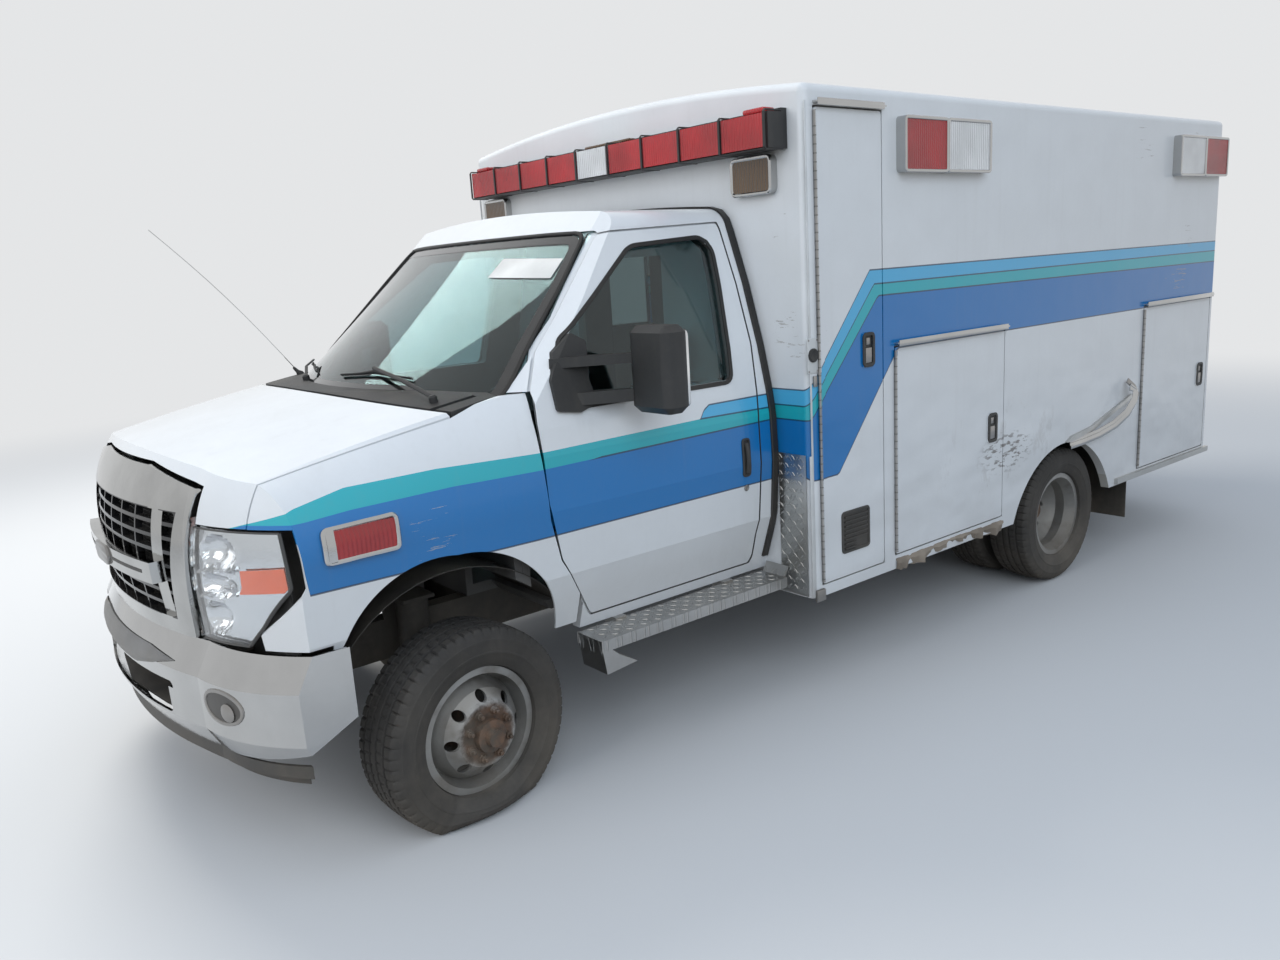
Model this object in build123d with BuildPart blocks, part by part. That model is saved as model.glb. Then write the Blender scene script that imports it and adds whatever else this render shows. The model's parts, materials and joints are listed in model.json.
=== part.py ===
from build123d import *
import os

os.makedirs("parts", exist_ok=True)

# Box-body ambulance on a van cutaway cab, in the worn state of a salvage yard.
# Millimetres, +X forward, +Y to the vehicle's left, +Z up, ground at Z = 0, origin mid-length.
# Stations along X are measured from the front axle: minus is towards the tail.

# Driving sizes of the chassis
wheelbase = 3505
front_overhang = 840
rear_overhang = 1910
overall_length = front_overhang + wheelbase + rear_overhang
axle = overall_length / 2 - front_overhang
rear_axle = -wheelbase

# Tyres and wheels
tyre_radius = 362
tyre_width = 225
rim_radius = 206
rim_flange_radius = 222
rim_width = 170
hand_holes = 8
front_tyre_y = 877
outer_tyre_y = 1027
dual_spacing = 280
flat_axle_z = 300
front_axle_z = tyre_radius
rear_axle_z = tyre_radius
kingpin_y = 700
rest_steer = 6

# Box body
box_front = -1474
box_length = 3711
box_rear = box_front - box_length
box_half = 1181
box_bottom = 433
box_side_top = 2425
box_crown = 2495
box_wall = 45
box_corner = 34
floor_z = 880
floor_thickness = 60
door_gap = 6
hinge_radius = 7
seat_gap = 0.3

# Cab
cab_rear = box_front
cab_half = 1003
cab_wall = 45
cab_sill = 520
cab_roof = 2040
cowl_x = -60
panel_gap = 5
skin = 8

# Frame
rail_y = 400
rail_width = 70
rail_height = 150
rail_top = 600


def side(y):
    """Upright plane along the vehicle at a given y, drawn in (station, height)."""
    return Plane(origin=(axle, y, 0), x_dir=(1, 0, 0), z_dir=(0, -1, 0))


def across(x):
    """Upright plane across the vehicle at a station, drawn in (y, height)."""
    return Plane(origin=(axle + x, 0, 0), x_dir=(0, 1, 0), z_dir=(1, 0, 0))


def plan(z):
    """Level plane at a height, drawn in (station, y)."""
    return Plane(origin=(axle, 0, z))


ground = plan(0)


def store(builder, name):
    """Label a finished piece and write it as a STEP file of the same name."""
    builder.part.label = name
    export_step(builder.part, f"parts/{name}.step")



# Cross-section of the cab from sill to belt line, as (y, height)
lower_section = [
    (905, cab_sill),
    (985, 760),
    (cab_half, 1000),
    (996, 1190),
    (980, 1285),
    (940, 1463),
    (868, 1711),
]
roof_rail = (782, 1950)
roof_edge = (690, 2012)


def cab_section(inset):
    """Closed cross-section of the cab, moved in by an inset."""
    points = [(y - inset, z) for y, z in lower_section]
    rail = (roof_rail[0] - inset, roof_rail[1])
    shoulder = (roof_edge[0] - inset, roof_edge[1] - inset)
    with BuildSketch(Plane.XY) as drawn:
        with BuildLine():
            flank = Polyline(*points, rail)
            bend = RadiusArc(rail, shoulder, -110)
            ThreePointArc(shoulder, (0, cab_roof - inset), (-shoulder[0], shoulder[1]))
            mirror([flank, bend], about=Plane.YZ)
            Line(points[0], (-points[0][0], points[0][1]))
        make_face()
    return drawn.sketch


# Bow of the windscreen in plan at its foot and above its head
screen_levels = [
    # height, centre x, edge x, edge y
    (1330, 82, -215, 867),
    (2070, -902, -936, 690),
]


def ahead_of_screen(centre, edge, edge_y, inset):
    """Everything ahead of the windscreen at one height, in plan."""
    reach = 420
    with BuildSketch(Plane.XY) as drawn:
        with BuildLine():
            ThreePointArc((edge - inset, -edge_y), (centre - inset, 0), (edge - inset, edge_y))
            Polyline((edge - inset, edge_y), (edge - inset - 230, 1100), (reach, 1100),
                     (reach, -1100), (edge - inset - 230, -1100), (edge - inset, -edge_y))
        make_face()
    return drawn.sketch


def greenhouse(inset, screen_inset):
    """Cab behind the cowl: one long section, cut away ahead of the raked, bowed windscreen."""
    with BuildPart() as form:
        with BuildSketch(across(cab_rear)):
            add(cab_section(inset))
        extrude(amount=-cab_rear + 150)
        for level in screen_levels:
            with BuildSketch(plan(level[0])):
                add(ahead_of_screen(*level[1:], screen_inset))
        loft(ruled=True, mode=Mode.SUBTRACT)
    return form.part


# Top of the nose: sections of the bonnet and wing tops, from the cowl forward
crown_stations = [
    # station, centre height, shoulder height, shoulder y, bulge y
    (-480, 1470, 1430, 905, 979),
    (150, 1412, 1338, 862, 975),
    (900, 1262, 1168, 862, 975),
]
waist_z = 1000
bulge_share = 0.42


def crown_section(centre, shoulder, shoulder_y, bulge_y, inset):
    """Cross-section of the nose at one station: flat flanks, round shoulders, crowned top."""
    low = [(905 - inset, cab_sill), (985 - inset, 760), (cab_half - inset, waist_z)]
    bulge_z = shoulder - bulge_share * (shoulder - waist_z)
    bulge = (bulge_y - inset, bulge_z - inset / 2)
    peak = (shoulder_y, shoulder - inset)
    with BuildSketch(Plane.XY) as drawn:
        with BuildLine():
            flank = Polyline(*low)
            bend = ThreePointArc(low[-1], bulge, peak)
            ThreePointArc(peak, (0, centre - inset), (-peak[0], peak[1]))
            mirror([flank, bend], about=Plane.YZ)
            Line(low[0], (-low[0][0], low[0][1]))
        make_face()
    return drawn.sketch


# Plan of the nose at rising heights
nose_levels = [
    # height, centre x
    (cab_sill - 40, 792),
    (940, 806),
    (1150, 784),
    (1262, 735),
    (1420, 560),
]


def nose_plan(front, inset):
    """Plan of the nose at one height, from the bulkhead to the bowed front and its corners."""
    x = front - inset
    with BuildSketch(Plane.XY) as drawn:
        with BuildLine():
            bow = ThreePointArc((x - 88, -600), (x, 0), (x - 88, 600))
            near = ThreePointArc((x - 88, 600), (x - 150, 800), (x - 330, 1040))
            Polyline((x - 330, 1040), (-500, 1100), (-500, -1100), (x - 330, -1040))
            far = ThreePointArc((x - 88, -600), (x - 150, -800), (x - 330, -1040))
        make_face()
    return drawn.sketch


def nose(inset):
    """Front of the cab ahead of the doors: crowned section cut by the swept, leaning nose."""
    with BuildPart() as form:
        for station, *shape in crown_stations:
            with BuildSketch(across(station)):
                add(crown_section(*shape, inset))
        loft()
    with BuildPart() as tip:
        for height, front in nose_levels:
            with BuildSketch(plan(height)):
                add(nose_plan(front, inset))
        loft()
    with BuildPart() as cut:
        add(form.part)
        add(tip.part, mode=Mode.INTERSECT)
    return cut.part


def prism_side(points, near, far, rounding=0):
    """Upright outline drawn in (station, height), run from y near to y far."""
    with BuildPart() as made:
        with BuildSketch(side(far)):
            with BuildLine():
                Polyline(*points, close=True)
            make_face()
            if rounding:
                fillet(vertices(), rounding)
        extrude(amount=far - near)
    return made.part


def prism_across(points, back, front, rounding=0):
    """Upright outline drawn in (y, height), run from station back to station front."""
    with BuildPart() as made:
        with BuildSketch(across(back)):
            with BuildLine():
                Polyline(*points, close=True)
            make_face()
            if rounding:
                fillet(vertices(), rounding)
        extrude(amount=front - back)
    return made.part


def prism_plan(points, low, high, rounding=0):
    """Level outline drawn in (station, y), run from height low to height high."""
    with BuildPart() as made:
        with BuildSketch(plan(low)):
            with BuildLine():
                Polyline(*points, close=True)
            make_face()
            if rounding:
                fillet(vertices(), rounding)
        extrude(amount=high - low)
    return made.part


def slab(x, y, z):
    """Rectangular block between two stations, two y values and two heights."""
    with BuildPart(ground) as made:
        with Locations(((x[0] + x[1]) / 2, (y[0] + y[1]) / 2, (z[0] + z[1]) / 2)):
            Box(x[1] - x[0], y[1] - y[0], z[1] - z[0])
    return made.part


def facing(hand, near, far):
    """Two y values on one side of the body, in rising order."""
    return sorted((hand * near, hand * far))




# Shells of the cab, from its outer and inner forms
cab_outer = greenhouse(0, 0)
cab_inner = greenhouse(cab_wall, 40)
door_inner = greenhouse(60, 0)
nose_outer = nose(0)
nose_skin = nose(skin)
nose_deep = nose(30)

# Cab door, as (station, height) on the plane y = 1040, narrowing inwards by its taper
door_plane_y = 1040
door_taper = 8
door_rounding = 30
door_outline = [
    (-533, 552),
    (-388, 821),
    (-346, 1030),
    (-338, 1300),
    (-345, 1416),
    (-418, 1549),
    (-531, 1669),
    (-790, 1962),
    (-1433, 1987),
    (-1418, 1480),
    (-1378, 1180),
    (-1376, 680),
    (-1394, 552),
]
window_outline = [(-462, 1345), (-505, 1556), (-918, 1870), (-1280, 1892), (-1322, 1850), (-1258, 1345)]


def door_prism(points, growth, depth):
    """Tapered plug that a door or its opening is cut with."""
    with BuildPart() as plug:
        with BuildSketch(side(door_plane_y)):
            with BuildLine():
                Polyline(*points, close=True)
            make_face()
            if growth:
                offset(amount=growth, kind=Kind.INTERSECTION)
            fillet(vertices(), door_rounding)
        extrude(amount=depth, taper=door_taper)
    return plug.part


# The door's thin skin laps over the pillars; its thicker core sits behind that lap
hem = 20
door_reach = 420
door_skin_inside = greenhouse(5, 5)
lap_floor = greenhouse(12, 12)
core_floor = greenhouse(66, 0)
door_plug = door_prism(door_outline, 0, door_reach)
door_lap = door_prism(door_outline, door_gap + 2, door_reach)
with BuildPart() as door_hole:
    add(cab_outer)
    add(lap_floor, mode=Mode.SUBTRACT)
    add(door_lap, mode=Mode.INTERSECT)
    with BuildPart(mode=Mode.PRIVATE) as core_hole:
        add(door_prism(door_outline, 7 - hem, door_reach))
        add(core_floor, mode=Mode.SUBTRACT)
    add(core_hole.part)
window_plug = prism_side(window_outline, 600, 1100, 24)

pillar_top = 1410

# Cab shell: roof, pillars, sills and the frame of the windscreen
screen_outline = [
    (-864, 1364),
    (-560, 1364),
    (-470, 1394),
    (470, 1394),
    (560, 1364),
    (864, 1364),
    (836, 1640),
    (756, 1940),
    (-756, 1940),
    (-836, 1640),
]
screen_hole = [(-834, 1300), (834, 1300), (806, 1640), (716, 1905), (-716, 1905), (-806, 1640)]
glass_back = greenhouse(0, 14)
with BuildPart() as screen_rebate:
    add(cab_outer)
    add(glass_back, mode=Mode.SUBTRACT)
    add(prism_across(screen_outline, -900, 200, 40), mode=Mode.INTERSECT)
with BuildPart() as cab_shell:
    add(cab_outer)
    add(cab_inner, mode=Mode.SUBTRACT)
    add(door_hole.part, mode=Mode.SUBTRACT)
    mirror(door_hole.part, about=Plane.XZ, mode=Mode.SUBTRACT)
    add(screen_rebate.part, mode=Mode.SUBTRACT)
    add(prism_across(screen_hole, -900, 200, 40), mode=Mode.SUBTRACT)
    add(slab((-500, 200), (-1100, 1100), (500, pillar_top)), mode=Mode.SUBTRACT)
store(cab_shell, "cab_shell")

# Windscreen glass
with BuildPart() as windshield:
    add(screen_rebate.part)
    add(greenhouse(0, 6), mode=Mode.INTERSECT)
    door_space = door_prism(door_outline, 14, door_reach)
    add(door_space, mode=Mode.SUBTRACT)
    mirror(door_space, about=Plane.XZ, mode=Mode.SUBTRACT)
store(windshield, "windshield")

# Cab doors with their windows, hinge barrels and glass
hinge_x = -308
hinge_y = 982
barrel_radius = 6
hinge_heights = (940, 1070)
hinge_length = 60
leaf_path = [(hinge_x, hinge_y), (hinge_x - 38, hinge_y - 66), (hinge_x - 90, hinge_y - 16)]
leaf_width = 8
with BuildPart() as door_core:
    add(door_skin_inside)
    add(door_inner, mode=Mode.SUBTRACT)
    add(door_prism(door_outline, -hem, door_reach), mode=Mode.INTERSECT)
with BuildPart() as door_panel:
    add(cab_outer)
    add(door_skin_inside, mode=Mode.SUBTRACT)
    add(door_plug, mode=Mode.INTERSECT)
    add(door_core.part)
for hand, word in ((1, "left"), (-1, "right")):
    with BuildPart() as cab_door:
        add(door_panel.part)
        add(window_plug, mode=Mode.SUBTRACT)
        for height in hinge_heights:
            with BuildSketch(plan(height)):
                with BuildLine():
                    Polyline(*leaf_path)
                trace(line_width=leaf_width)
                with Locations((hinge_x, hinge_y)):
                    Circle(barrel_radius)
            extrude(amount=hinge_length)
        if hand < 0:
            mirror(about=Plane.XZ, mode=Mode.REPLACE)
    store(cab_door, f"cab_door_{word}")
    with BuildPart() as pane:
        add(greenhouse(16, 0))
        add(greenhouse(22, 0), mode=Mode.SUBTRACT)
        add(window_plug, mode=Mode.INTERSECT)
        if hand < 0:
            mirror(about=Plane.XZ, mode=Mode.REPLACE)
    store(pane, f"door_glass_{word}")

# Bonnet, wings, headlamps and grille, cut from the nose
seam_rear_y = 884
seam_front_y = 848
hood_rear = -70
hood_rear_centre = 100
hinge_slot_y = 800
hood_hinge_x = -200
hood_hinge_z = 1345
hood_barrel = 10
arm_half = 7
hood_front = 900
lamp_top = 1122


def hood_plan(shift, narrow):
    """Plan of the bonnet from its bowed rear edge forward, shifted and narrowed."""
    with BuildSketch(Plane.XY) as drawn:
        with BuildLine():
            rear, centre = hood_rear + shift, hood_rear_centre + shift
            bow = ThreePointArc((rear, narrow - seam_rear_y), (centre, 0), (rear, seam_rear_y - narrow))
            front_corner = (hood_front, seam_front_y - narrow)
            Polyline(bow @ 1, front_corner, (hood_front, narrow - seam_front_y), bow @ 0)
        make_face()
    return drawn.sketch


grille_face = [(-566, 746), (566, 746), (642, 1226), (300, 1272), (-300, 1272), (-642, 1226)]
grille_hole = [(-656, 1000), (656, 1000), (656, 1236), (304, 1282), (-304, 1282), (-656, 1236)]
with BuildPart() as hood:
    add(nose_outer)
    add(nose_deep, mode=Mode.SUBTRACT)
    with BuildSketch(plan(lamp_top + panel_gap)):
        add(hood_plan(0, 0))
    extrude(amount=500, mode=Mode.INTERSECT)
    add(prism_across(grille_hole, 300, 1000), mode=Mode.SUBTRACT)
    for hand in (-1, 1):
        lane = (hand * hinge_slot_y - arm_half, hand * hinge_slot_y + arm_half)
        add(slab((hood_hinge_x, 10), lane, (hood_hinge_z - 9, hood_hinge_z + 3)))
        with BuildSketch(side(lane[1])):
            with Locations((hood_hinge_x, hood_hinge_z)):
                Circle(hood_barrel)
        extrude(amount=2 * arm_half)
store(hood, "hood")

arch_low = 540
wing_outline = [
    (-540, 552),
    (-501, 633),
    (-389, 821),
    (-351, 974),
    (-341, 1115),
    (-339, 1218),
    (-343, 1318),
    (-354, pillar_top - panel_gap),
    (700, pillar_top - panel_gap),
    (700, 752),
    (440, 752),
    (440, 552),
]
wing_edge = [
    (-600, 872),
    (-235, 872),
    (hood_rear, seam_rear_y + panel_gap),
    (hood_front, seam_front_y + panel_gap),
]
wing_bracket_heights = (900, 1200)
with BuildPart() as wing_brackets:
    for hand in (-1, 1):
        for height in wing_bracket_heights:
            add(slab((-295, -265), facing(hand, 940, 1010), (height, height + 40)))
    add(nose_skin, mode=Mode.INTERSECT)
with BuildPart() as wings:
    add(nose_outer)
    add(nose_skin, mode=Mode.SUBTRACT)
    add(prism_side(wing_outline, -1100, 1100), mode=Mode.INTERSECT)
    mirrored_edge = [(station, -y) for station, y in reversed(wing_edge)]
    add(prism_plan(wing_edge + mirrored_edge, 400, 1600), mode=Mode.SUBTRACT)
    with BuildSketch(side(1100)):
        with BuildLine():
            rear_arc = ThreePointArc((-389, arch_low), (-262, 829), (10, 936))
            front_arc = ThreePointArc(rear_arc @ 1, (300, 872), (430, 690))
            Polyline(front_arc @ 1, (442, arch_low), rear_arc @ 0)
        make_face()
    extrude(amount=2200, mode=Mode.SUBTRACT)
    lamp_hole = [(516, lamp_top + 4), (504, 949), (620, 786), (620, 740), (900, 740), (900, lamp_top + 4)]
    add(prism_side(lamp_hole, -1100, 1100), mode=Mode.SUBTRACT)
    add(wing_brackets.part)
store(wings, "front_fenders")

lamp_depth = 100
lamp_side = [(520, lamp_top), (508, 949), (624, 790), (680, 746), (900, 746), (900, lamp_top)]
lamp_front = [(578, 746), (1030, 746), (1030, lamp_top), (638, lamp_top)]
with BuildPart() as headlamps:
    add(nose(2))
    add(nose(lamp_depth), mode=Mode.SUBTRACT)
    add(prism_side(lamp_side, 0, 1100), mode=Mode.INTERSECT)
    add(prism_across(lamp_front, 300, 1000), mode=Mode.INTERSECT)
    mirror(about=Plane.XZ)
store(headlamps, "headlamps")

grille_open = [(-486, 800), (486, 800), (556, 1150), (-556, 1150)]
with BuildPart() as grille:
    add(nose(-10))
    add(nose_deep, mode=Mode.SUBTRACT)
    add(prism_across(grille_face, 300, 1000, 12), mode=Mode.INTERSECT)
    add(prism_across(grille_open, 300, 1000, 20), mode=Mode.SUBTRACT)
slats = 7
slat_low = 830
slat_pitch = 45
slat_height = 12
stay_pitch = 130
stay_width = 10
post_y = 420
post_half = 34
with BuildPart() as bars:
    for step in range(slats):
        level = slat_low + slat_pitch * step
        add(slab((300, 1000), (-540, 540), (level, level + slat_height)))
    for step in range(-3, 4):
        near = stay_pitch * step - stay_width / 2
        add(slab((300, 1000), (near, near + stay_width), (790, 1160)))
    for hand in (-1, 1):
        add(slab((300, 1000), facing(hand, post_y - post_half, post_y + post_half), (790, 1160)))
with BuildPart() as mesh:
    add(nose(4))
    add(nose(26), mode=Mode.SUBTRACT)
    add(bars.part, mode=Mode.INTERSECT)
with BuildPart() as crossbar:
    add(nose(-34))
    add(nose(10), mode=Mode.SUBTRACT)
    add(slab((300, 1000), (-440, 440), (915, 985)), mode=Mode.INTERSECT)
with BuildPart() as whole_grille:
    add(grille.part)
    add(mesh.part)
    add(crossbar.part)
store(whole_grille, "grille")


# Radiator block behind the grille and the engine behind it
support_blank = nose(lamp_depth)
with BuildPart() as lamp_support:
    add(slab((590, 700), (-780, 780), (770, 1110)))
    add(support_blank, mode=Mode.INTERSECT)
with BuildPart() as grille_brackets:
    for hand in (-1, 1):
        add(slab((600, 800), facing(hand, 570, 604), (1040, 1080)))
    add(nose_deep, mode=Mode.INTERSECT)
with BuildPart() as radiator:
    add(slab((560, 620), (-520, 520), (rail_top, 1110)))
    add(lamp_support.part)
    add(grille_brackets.part)
store(radiator, "radiator")

with BuildPart(ground) as engine:
    with Locations((120, 0, 850)):
        Box(760, 540, 460)
    fillet(engine.edges().filter_by(Axis.X), 60)
    with Locations((-680, 0, 397)):
        Box(840, 300, 134)
    with Locations((-234, 0, 485)):
        Box(68, 280, 310)
    with Locations((120, 0, 575)):
        Box(90, 2 * rail_y, 50)
    with Locations((120, 0, 610)):
        Box(90, 420, 60)
store(engine, "engine_block")

rail_front = 700
rail_rear = -5150

# Front bumper: bowed sheet with a dropped top shelf, open intake and round lamp blanks
bumper_levels = [
    # height, centre x
    (396, 800),
    (470, 838),
    (640, 840),
    (744, 786),
]
bumper_sheet = 10


def bumper_plan(front, inset):
    """Plan of the bumper at one height, with its returns along the wings."""
    x = front - inset
    edge = cab_half + 6 - inset
    with BuildSketch(Plane.XY) as drawn:
        with BuildLine():
            ThreePointArc((x - 92, -620), (x, 0), (x - 92, 620))
            ThreePointArc((x - 92, 620), (x - 150, 830), (x - 270, edge - 8))
            Polyline((x - 270, edge - 8), (400, edge), (400, -edge), (x - 270, 8 - edge))
            ThreePointArc((x - 92, -620), (x - 150, -830), (x - 270, 8 - edge))
        make_face()
    return drawn.sketch


def bumper_form(inset):
    """Solid outline of the bumper, lofted up through its levels."""
    with BuildPart() as form:
        for height, front in bumper_levels:
            with BuildSketch(plan(height)):
                add(bumper_plan(front, inset))
        loft(ruled=True)
    return form.part


bumper_side = [(404, 520), (404, 746), (900, 746), (900, 396), (700, 396), (560, 440)]
intake = [(-430, 478), (430, 478), (470, 592), (-470, 592)]
bumper_inside = bumper_form(bumper_sheet)
with BuildPart() as bumper_brackets:
    for hand in (-1, 1):
        add(slab((rail_front, 830), facing(hand, rail_y + 5, rail_y + rail_width - 5), (490, 560)))
    add(bumper_inside, mode=Mode.INTERSECT)
with BuildPart() as front_bumper:
    add(bumper_form(0))
    add(bumper_inside, mode=Mode.SUBTRACT)
    add(prism_side(bumper_side, -1100, 1100), mode=Mode.INTERSECT)
    add(prism_across(intake, 600, 1000, 20), mode=Mode.SUBTRACT)
    add(bumper_brackets.part)
store(front_bumper, "front_bumper")

# Air dam: two lips of thin plastic, the lower one set back, joined by a shelf
dam_lips = [
    # low, high, front at the centre, thickness
    (362, 396, 800, 10),
    (356, 366, 800, 40),
    (326, 360, 770, 10),
]
dam_rear = 550
with BuildPart() as air_dam:
    for low, high, front, thickness in dam_lips:
        with BuildSketch(plan(low)):
            add(bumper_plan(front, 0))
            add(bumper_plan(front, thickness), mode=Mode.SUBTRACT)
        extrude(amount=high - low)
    add(slab((-400, dam_rear), (-1200, 1200), (300, 400)), mode=Mode.SUBTRACT)
store(air_dam, "air_dam")

# Black cowl between bonnet and windscreen, with two wiper arms
cowl_gap = 16
cowl_inside = nose(24)
cowl_edge = [(-262, 866), (-235, 866), (hood_rear - cowl_gap, seam_rear_y - 8), (200, 700)]
with BuildPart() as cowl:
    add(nose_outer)
    add(cowl_inside, mode=Mode.SUBTRACT)
    mirrored_cowl = [(station, -y) for station, y in reversed(cowl_edge)]
    add(prism_plan(cowl_edge + mirrored_cowl, 1300, 1500), mode=Mode.INTERSECT)
    with BuildSketch(plan(1200)):
        add(hood_plan(-cowl_gap, 0))
    extrude(amount=400, mode=Mode.SUBTRACT)
    add(greenhouse(0, -3), mode=Mode.SUBTRACT)
    for hand in (-1, 1):
        lane = facing(hand, hinge_slot_y - arm_half - 5, hinge_slot_y + arm_half + 5)
        add(slab((hood_hinge_x - 16, 40), lane, (1300, 1500)), mode=Mode.SUBTRACT)
store(cowl, "cowl")

# Floor pan with bulkhead and hinge pillars
steer_envelope = 476
bulkhead_x = -300
cab_floor_low = rail_top + 10
cab_floor_high = rail_top + 50
rib_half = 440
with BuildPart() as cowl_rib:
    add(slab((5, 30), (-rib_half, rib_half), (1300, 1500)))
    add(cowl_inside, mode=Mode.INTERSECT)
with BuildPart() as rear_strip:
    add(slab((cab_rear, -1366), (-1000, 1000), (cab_floor_low, cab_floor_high)))
    add(cab_inner, mode=Mode.INTERSECT)
hinge_seat_z = hood_hinge_z - hood_barrel - seat_gap
hinge_seat = (hinge_x + barrel_radius + seat_gap, bulkhead_x + 20)
with BuildPart() as cab_floor:
    add(slab((cab_rear, bulkhead_x), (-1000, 1000), (cab_floor_low, cab_floor_high)))
    add(slab((bulkhead_x, bulkhead_x + 30), (-930, 930), (cab_floor_low, 1320)))
    add(greenhouse(66, 40), mode=Mode.INTERSECT)
    add(rear_strip.part)
    for hand in (-1, 1):
        hood_seat = facing(hand, hinge_slot_y - 12, hinge_slot_y + 12)
        add(slab((bulkhead_x, hood_hinge_x + 15), hood_seat, (1290, hinge_seat_z)))
        add(slab((bulkhead_x, bulkhead_x + 60), facing(hand, 870, 920), (cab_floor_low, 1280)))
        add(slab((-1200, -1100), facing(hand, rail_y, rail_y + rail_width), (rail_top, cab_floor_low)))
        with BuildSketch(side(facing(hand, 500, 1100)[1])):
            with Locations((0, front_axle_z)):
                Circle(steer_envelope)
        extrude(amount=600, mode=Mode.SUBTRACT)
        add(slab((-365, bulkhead_x + 20), facing(hand, 832, 866), (1230, 1280)))
        add(slab((-365, -322), facing(hand, 832, 866), (1280, pillar_top)))
        add(slab(hinge_seat, facing(hand, 910, 984), (940, 1130)))
    add(slab((bulkhead_x, 30), (-rib_half, rib_half), (1290, 1310)))
    add(cowl_rib.part)
store(cab_floor, "cab_floor")

dash_outline = [
    (bulkhead_x, 900),
    (bulkhead_x, 1330),
    (-360, 1345),
    (-560, 1290),
    (-600, 1180),
    (-520, 1060),
    (-480, 900),
]
wheel_plane = Plane(origin=(axle - 640, 380, 1190), z_dir=(-1, 0, 0.55))
with BuildPart() as dashboard:
    with BuildSketch(side(830)):
        with BuildLine():
            Polyline(*dash_outline, close=True)
        make_face()
        fillet(vertices(), 12)
    extrude(amount=1660)
    with BuildSketch(wheel_plane):
        Circle(195)
        Circle(168, mode=Mode.SUBTRACT)
        Rectangle(340, 40)
        Circle(52)
    extrude(amount=22)
    with BuildSketch(wheel_plane):
        Circle(24)
    extrude(amount=-110)
store(dashboard, "dashboard")

with BuildPart(ground) as seats:
    for hand in (-1, 1):
        with Locations((-1010, hand * 430, (rail_top + 50 + 820) / 2)):
            Box(520, 520, 820 - rail_top - 50)
        with Locations(Location((-1290, hand * 430, 1150), (0, -12, 0))):
            Box(130, 520, 760)
store(seats, "cab_seats")


# Door mirrors: tall head on two arms from a plate at the front of the window
sail_outline = [
    (-428, 1336),
    (-424, 1440),
    (-470, 1530),
    (-545, 1592),
    (-604, 1560),
    (-580, 1430),
    (-598, 1345),
    (-520, 1322),
]
arm_plan = [(-440, 930), (-560, 930), (-770, 1080), (-700, 1080)]
head_low = 1305
head_height = 300
head_soft = 24
with BuildPart() as sail:
    add(greenhouse(-16, -16))
    add(prism_side(sail_outline, 700, 1040, 12), mode=Mode.INTERSECT)
with BuildPart() as mirror_left:
    with BuildSketch(plan(head_low)):
        with Locations((-740, 1155)):
            RectangleRounded(110, 210, 36)
    extrude(amount=head_height)
    chamfer(mirror_left.edges().group_by(Axis.Z)[-1], head_soft)
    chamfer(mirror_left.edges().group_by(Axis.Z)[0], head_soft)
    add(slab((-800, -783), (1078, 1232), (1340, 1570)), mode=Mode.SUBTRACT)
    add(sail.part)
    add(prism_plan(arm_plan, 1345, 1388))
    add(prism_plan(arm_plan, 1478, 1512))
    add(cab_outer, mode=Mode.SUBTRACT)
store(mirror_left, "mirror_left")
with BuildPart() as mirror_right:
    mirror(mirror_left.part, about=Plane.XZ)
store(mirror_right, "mirror_right")

# Running boards: folded tread plate under the doors; the left one is bent up and its front flap hangs
board_low = 470
board_high = 512
board_thick = 6
front_flap = [(-480, 512), (-500, 380), (-640, 392), (-560, 440), (-486, 506)]
rear_bend = [(-1438, 512), (-1462, 552), (-1468, 548), (-1444, 504)]
with BuildPart() as boards:
    for hand in (1, -1):
        add(slab((-1440, -480), facing(hand, 915, 1065), (board_low, board_high)))
        hollow_y = facing(hand, 915 + board_thick, 1065 - board_thick)
        add(slab((-1441, -479), hollow_y, (board_low, board_high - board_thick)), mode=Mode.SUBTRACT)
        for station in (-1260, -700):
            add(slab((station, station + 50), facing(hand, 860, 930), (board_high - 30, cab_sill)))
    add(prism_side(front_flap, 915, 1060))
    add(prism_side(rear_bend, 930, 1050))
store(boards, "running_boards")

# Ladder frame: two channel rails, crossmembers, body mounts, fuel tank and exhaust
spring_top = 700
cross_stations = (560, -420, -1900, -2700, -4060, -5100)
rail_low = rail_top - rail_height
rail_outside = rail_y + rail_width
rail_web = rail_outside - 8
with BuildPart() as frame:
    for hand in (1, -1):
        rail = slab((rail_rear, rail_front), facing(hand, rail_y, rail_outside), (rail_low, rail_top))
        channel_y = facing(hand, rail_y - 1, rail_web)
        channel = slab((rail_rear - 1, rail_front + 1), channel_y, (rail_low + 8, rail_top - 8))
        add(rail)
        add(channel, mode=Mode.SUBTRACT)
    for station in cross_stations:
        add(slab((station, station + 90), (-rail_web, rail_web), (rail_top - 130, rail_top - 20)))
    for hand in (1, -1):
        add(slab((-60, 60), facing(hand, rail_web, 655), (spring_top, spring_top + 12)))
        add(slab((-60, 60), facing(hand, rail_web, rail_outside), (rail_top - 20, spring_top + 12)))
store(frame, "chassis_frame")

pipe_radius = 32
pipe_z = rail_top - rail_height - pipe_radius - seat_gap
with BuildPart() as tank:
    add(slab((-5000, -4150), (-rail_y, rail_y), (410, 585)))
    with BuildSketch(across(-2790)):
        with Locations((-250, pipe_z)):
            Circle(pipe_radius)
    extrude(amount=2400)
    with BuildSketch(across(-2600)):
        with Locations((-250, pipe_z)):
            Ellipse(115, 75)
    extrude(amount=620)
    with BuildSketch(side(-250)):
        with Locations((-2758, pipe_z)):
            Circle(pipe_radius)
    extrude(amount=850)
store(tank, "tank_and_exhaust")

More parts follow.
